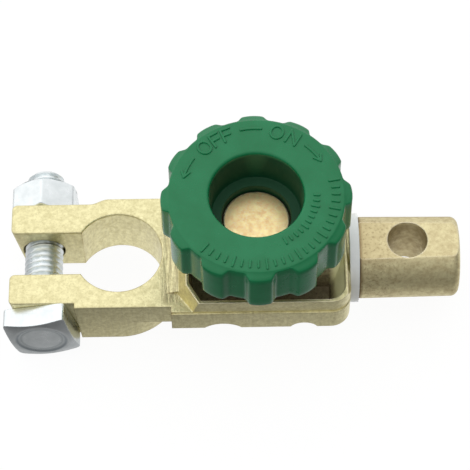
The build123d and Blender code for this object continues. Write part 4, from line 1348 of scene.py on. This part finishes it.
# How the photograph's camera stood, in degrees, and where it saw the middle of the bore's top
PHOTO_SIZE = 470
FOCAL_PIXELS = 2158.3
CAMERA_ELEVATION = 60.76
OBJECT_TURN = 0.24
CAMERA_ROLL = 0.66
BORE_TOP = Vector((0.0, 0.0, 13.09 * MM))
BORE_TOP_IN_CAMERA = Vector((-24.06 * MM, -3.60 * MM, 444.73 * MM))
SENSOR_WIDTH = 36.0
CLIP_START, CLIP_END = 0.01, 20.0


def build_camera():
    """The camera, from its elevation, its turn about Z, its roll and where it saw the bore."""
    tilt, turn, roll = radians(CAMERA_ELEVATION), radians(OBJECT_TURN), radians(CAMERA_ROLL)
    unturn = Matrix.Rotation(-turn, 3, "Z")
    right = unturn @ Vector((1, 0, 0))
    up = unturn @ Vector((0, sin(tilt), cos(tilt)))
    forward = unturn @ Vector((0, cos(tilt), -sin(tilt)))
    rolled_right = right * cos(roll) - up * sin(roll)
    rolled_up = right * sin(roll) + up * cos(roll)
    seen = BORE_TOP_IN_CAMERA
    place = BORE_TOP - (rolled_right * seen.x + rolled_up * seen.y + forward * seen.z)
    turned = Matrix((rolled_right, rolled_up, -forward)).transposed()
    data = bpy.data.cameras.new("camera")
    data.sensor_width = SENSOR_WIDTH
    data.lens = FOCAL_PIXELS / PHOTO_SIZE * SENSOR_WIDTH
    data.clip_start = CLIP_START
    data.clip_end = CLIP_END
    camera = bpy.data.objects.new("camera", data)
    camera.matrix_world = Matrix.Translation(place) @ turned.to_4x4()
    bpy.context.scene.collection.objects.link(camera)
    bpy.context.scene.camera = camera


class SWITCH_OT_stage(bpy.types.Operator):
    """Set the floor, the room, the lamp and the camera"""

    bl_idname = "switch.stage"
    bl_label = "Set the Stage"

    def execute(self, context):
        stage = context.scene.switch_stage
        context.scene.view_settings.view_transform = "Standard"
        build_floor(stage)
        build_world(stage)
        build_key_lamp(stage.key_radiance)
        build_camera()
        return {"FINISHED"}


class SWITCH_PT_panel(bpy.types.Panel):
    """The switch's operators in the sidebar"""

    bl_idname = "SWITCH_PT_panel"
    bl_label = "Disconnect Switch"
    bl_space_type = "VIEW_3D"
    bl_region_type = "UI"
    bl_category = "Switch"

    def draw(self, context):
        for operator in OPERATORS:
            self.layout.operator(operator.bl_idname)


GROUPS = {
    "switch_knob": KnobSizes,
    "switch_marks": MarkSizes,
    "switch_fasteners": FastenerSizes,
    "switch_contact_screw": ContactScrewSizes,
    "switch_colours": SwitchColours,
    "switch_stage": StageSettings,
}
OPERATORS = (SWITCH_OT_finishes, SWITCH_OT_knob, SWITCH_OT_marks, SWITCH_OT_contact_screw,
             SWITCH_OT_fasteners, SWITCH_OT_stage)
CLASSES = (*GROUPS.values(), *OPERATORS, SWITCH_PT_panel)


def register():
    """Registers the classes and hangs the settings on the scene."""
    for cls in CLASSES:
        bpy.utils.register_class(cls)
    for name, group in GROUPS.items():
        setattr(bpy.types.Scene, name, bpy.props.PointerProperty(type=group))


def unregister():
    """Takes the settings and the classes away again."""
    for name in GROUPS:
        delattr(bpy.types.Scene, name)
    for cls in reversed(CLASSES):
        bpy.utils.unregister_class(cls)


def main():
    """Dresses the part and sets the stage."""
    register()
    bpy.ops.switch.finishes()
    bpy.ops.switch.knob()
    bpy.ops.switch.marks()
    bpy.ops.switch.contact_screw()
    bpy.ops.switch.fasteners()
    bpy.ops.switch.stage()


if __name__ == "__main__":
    main()
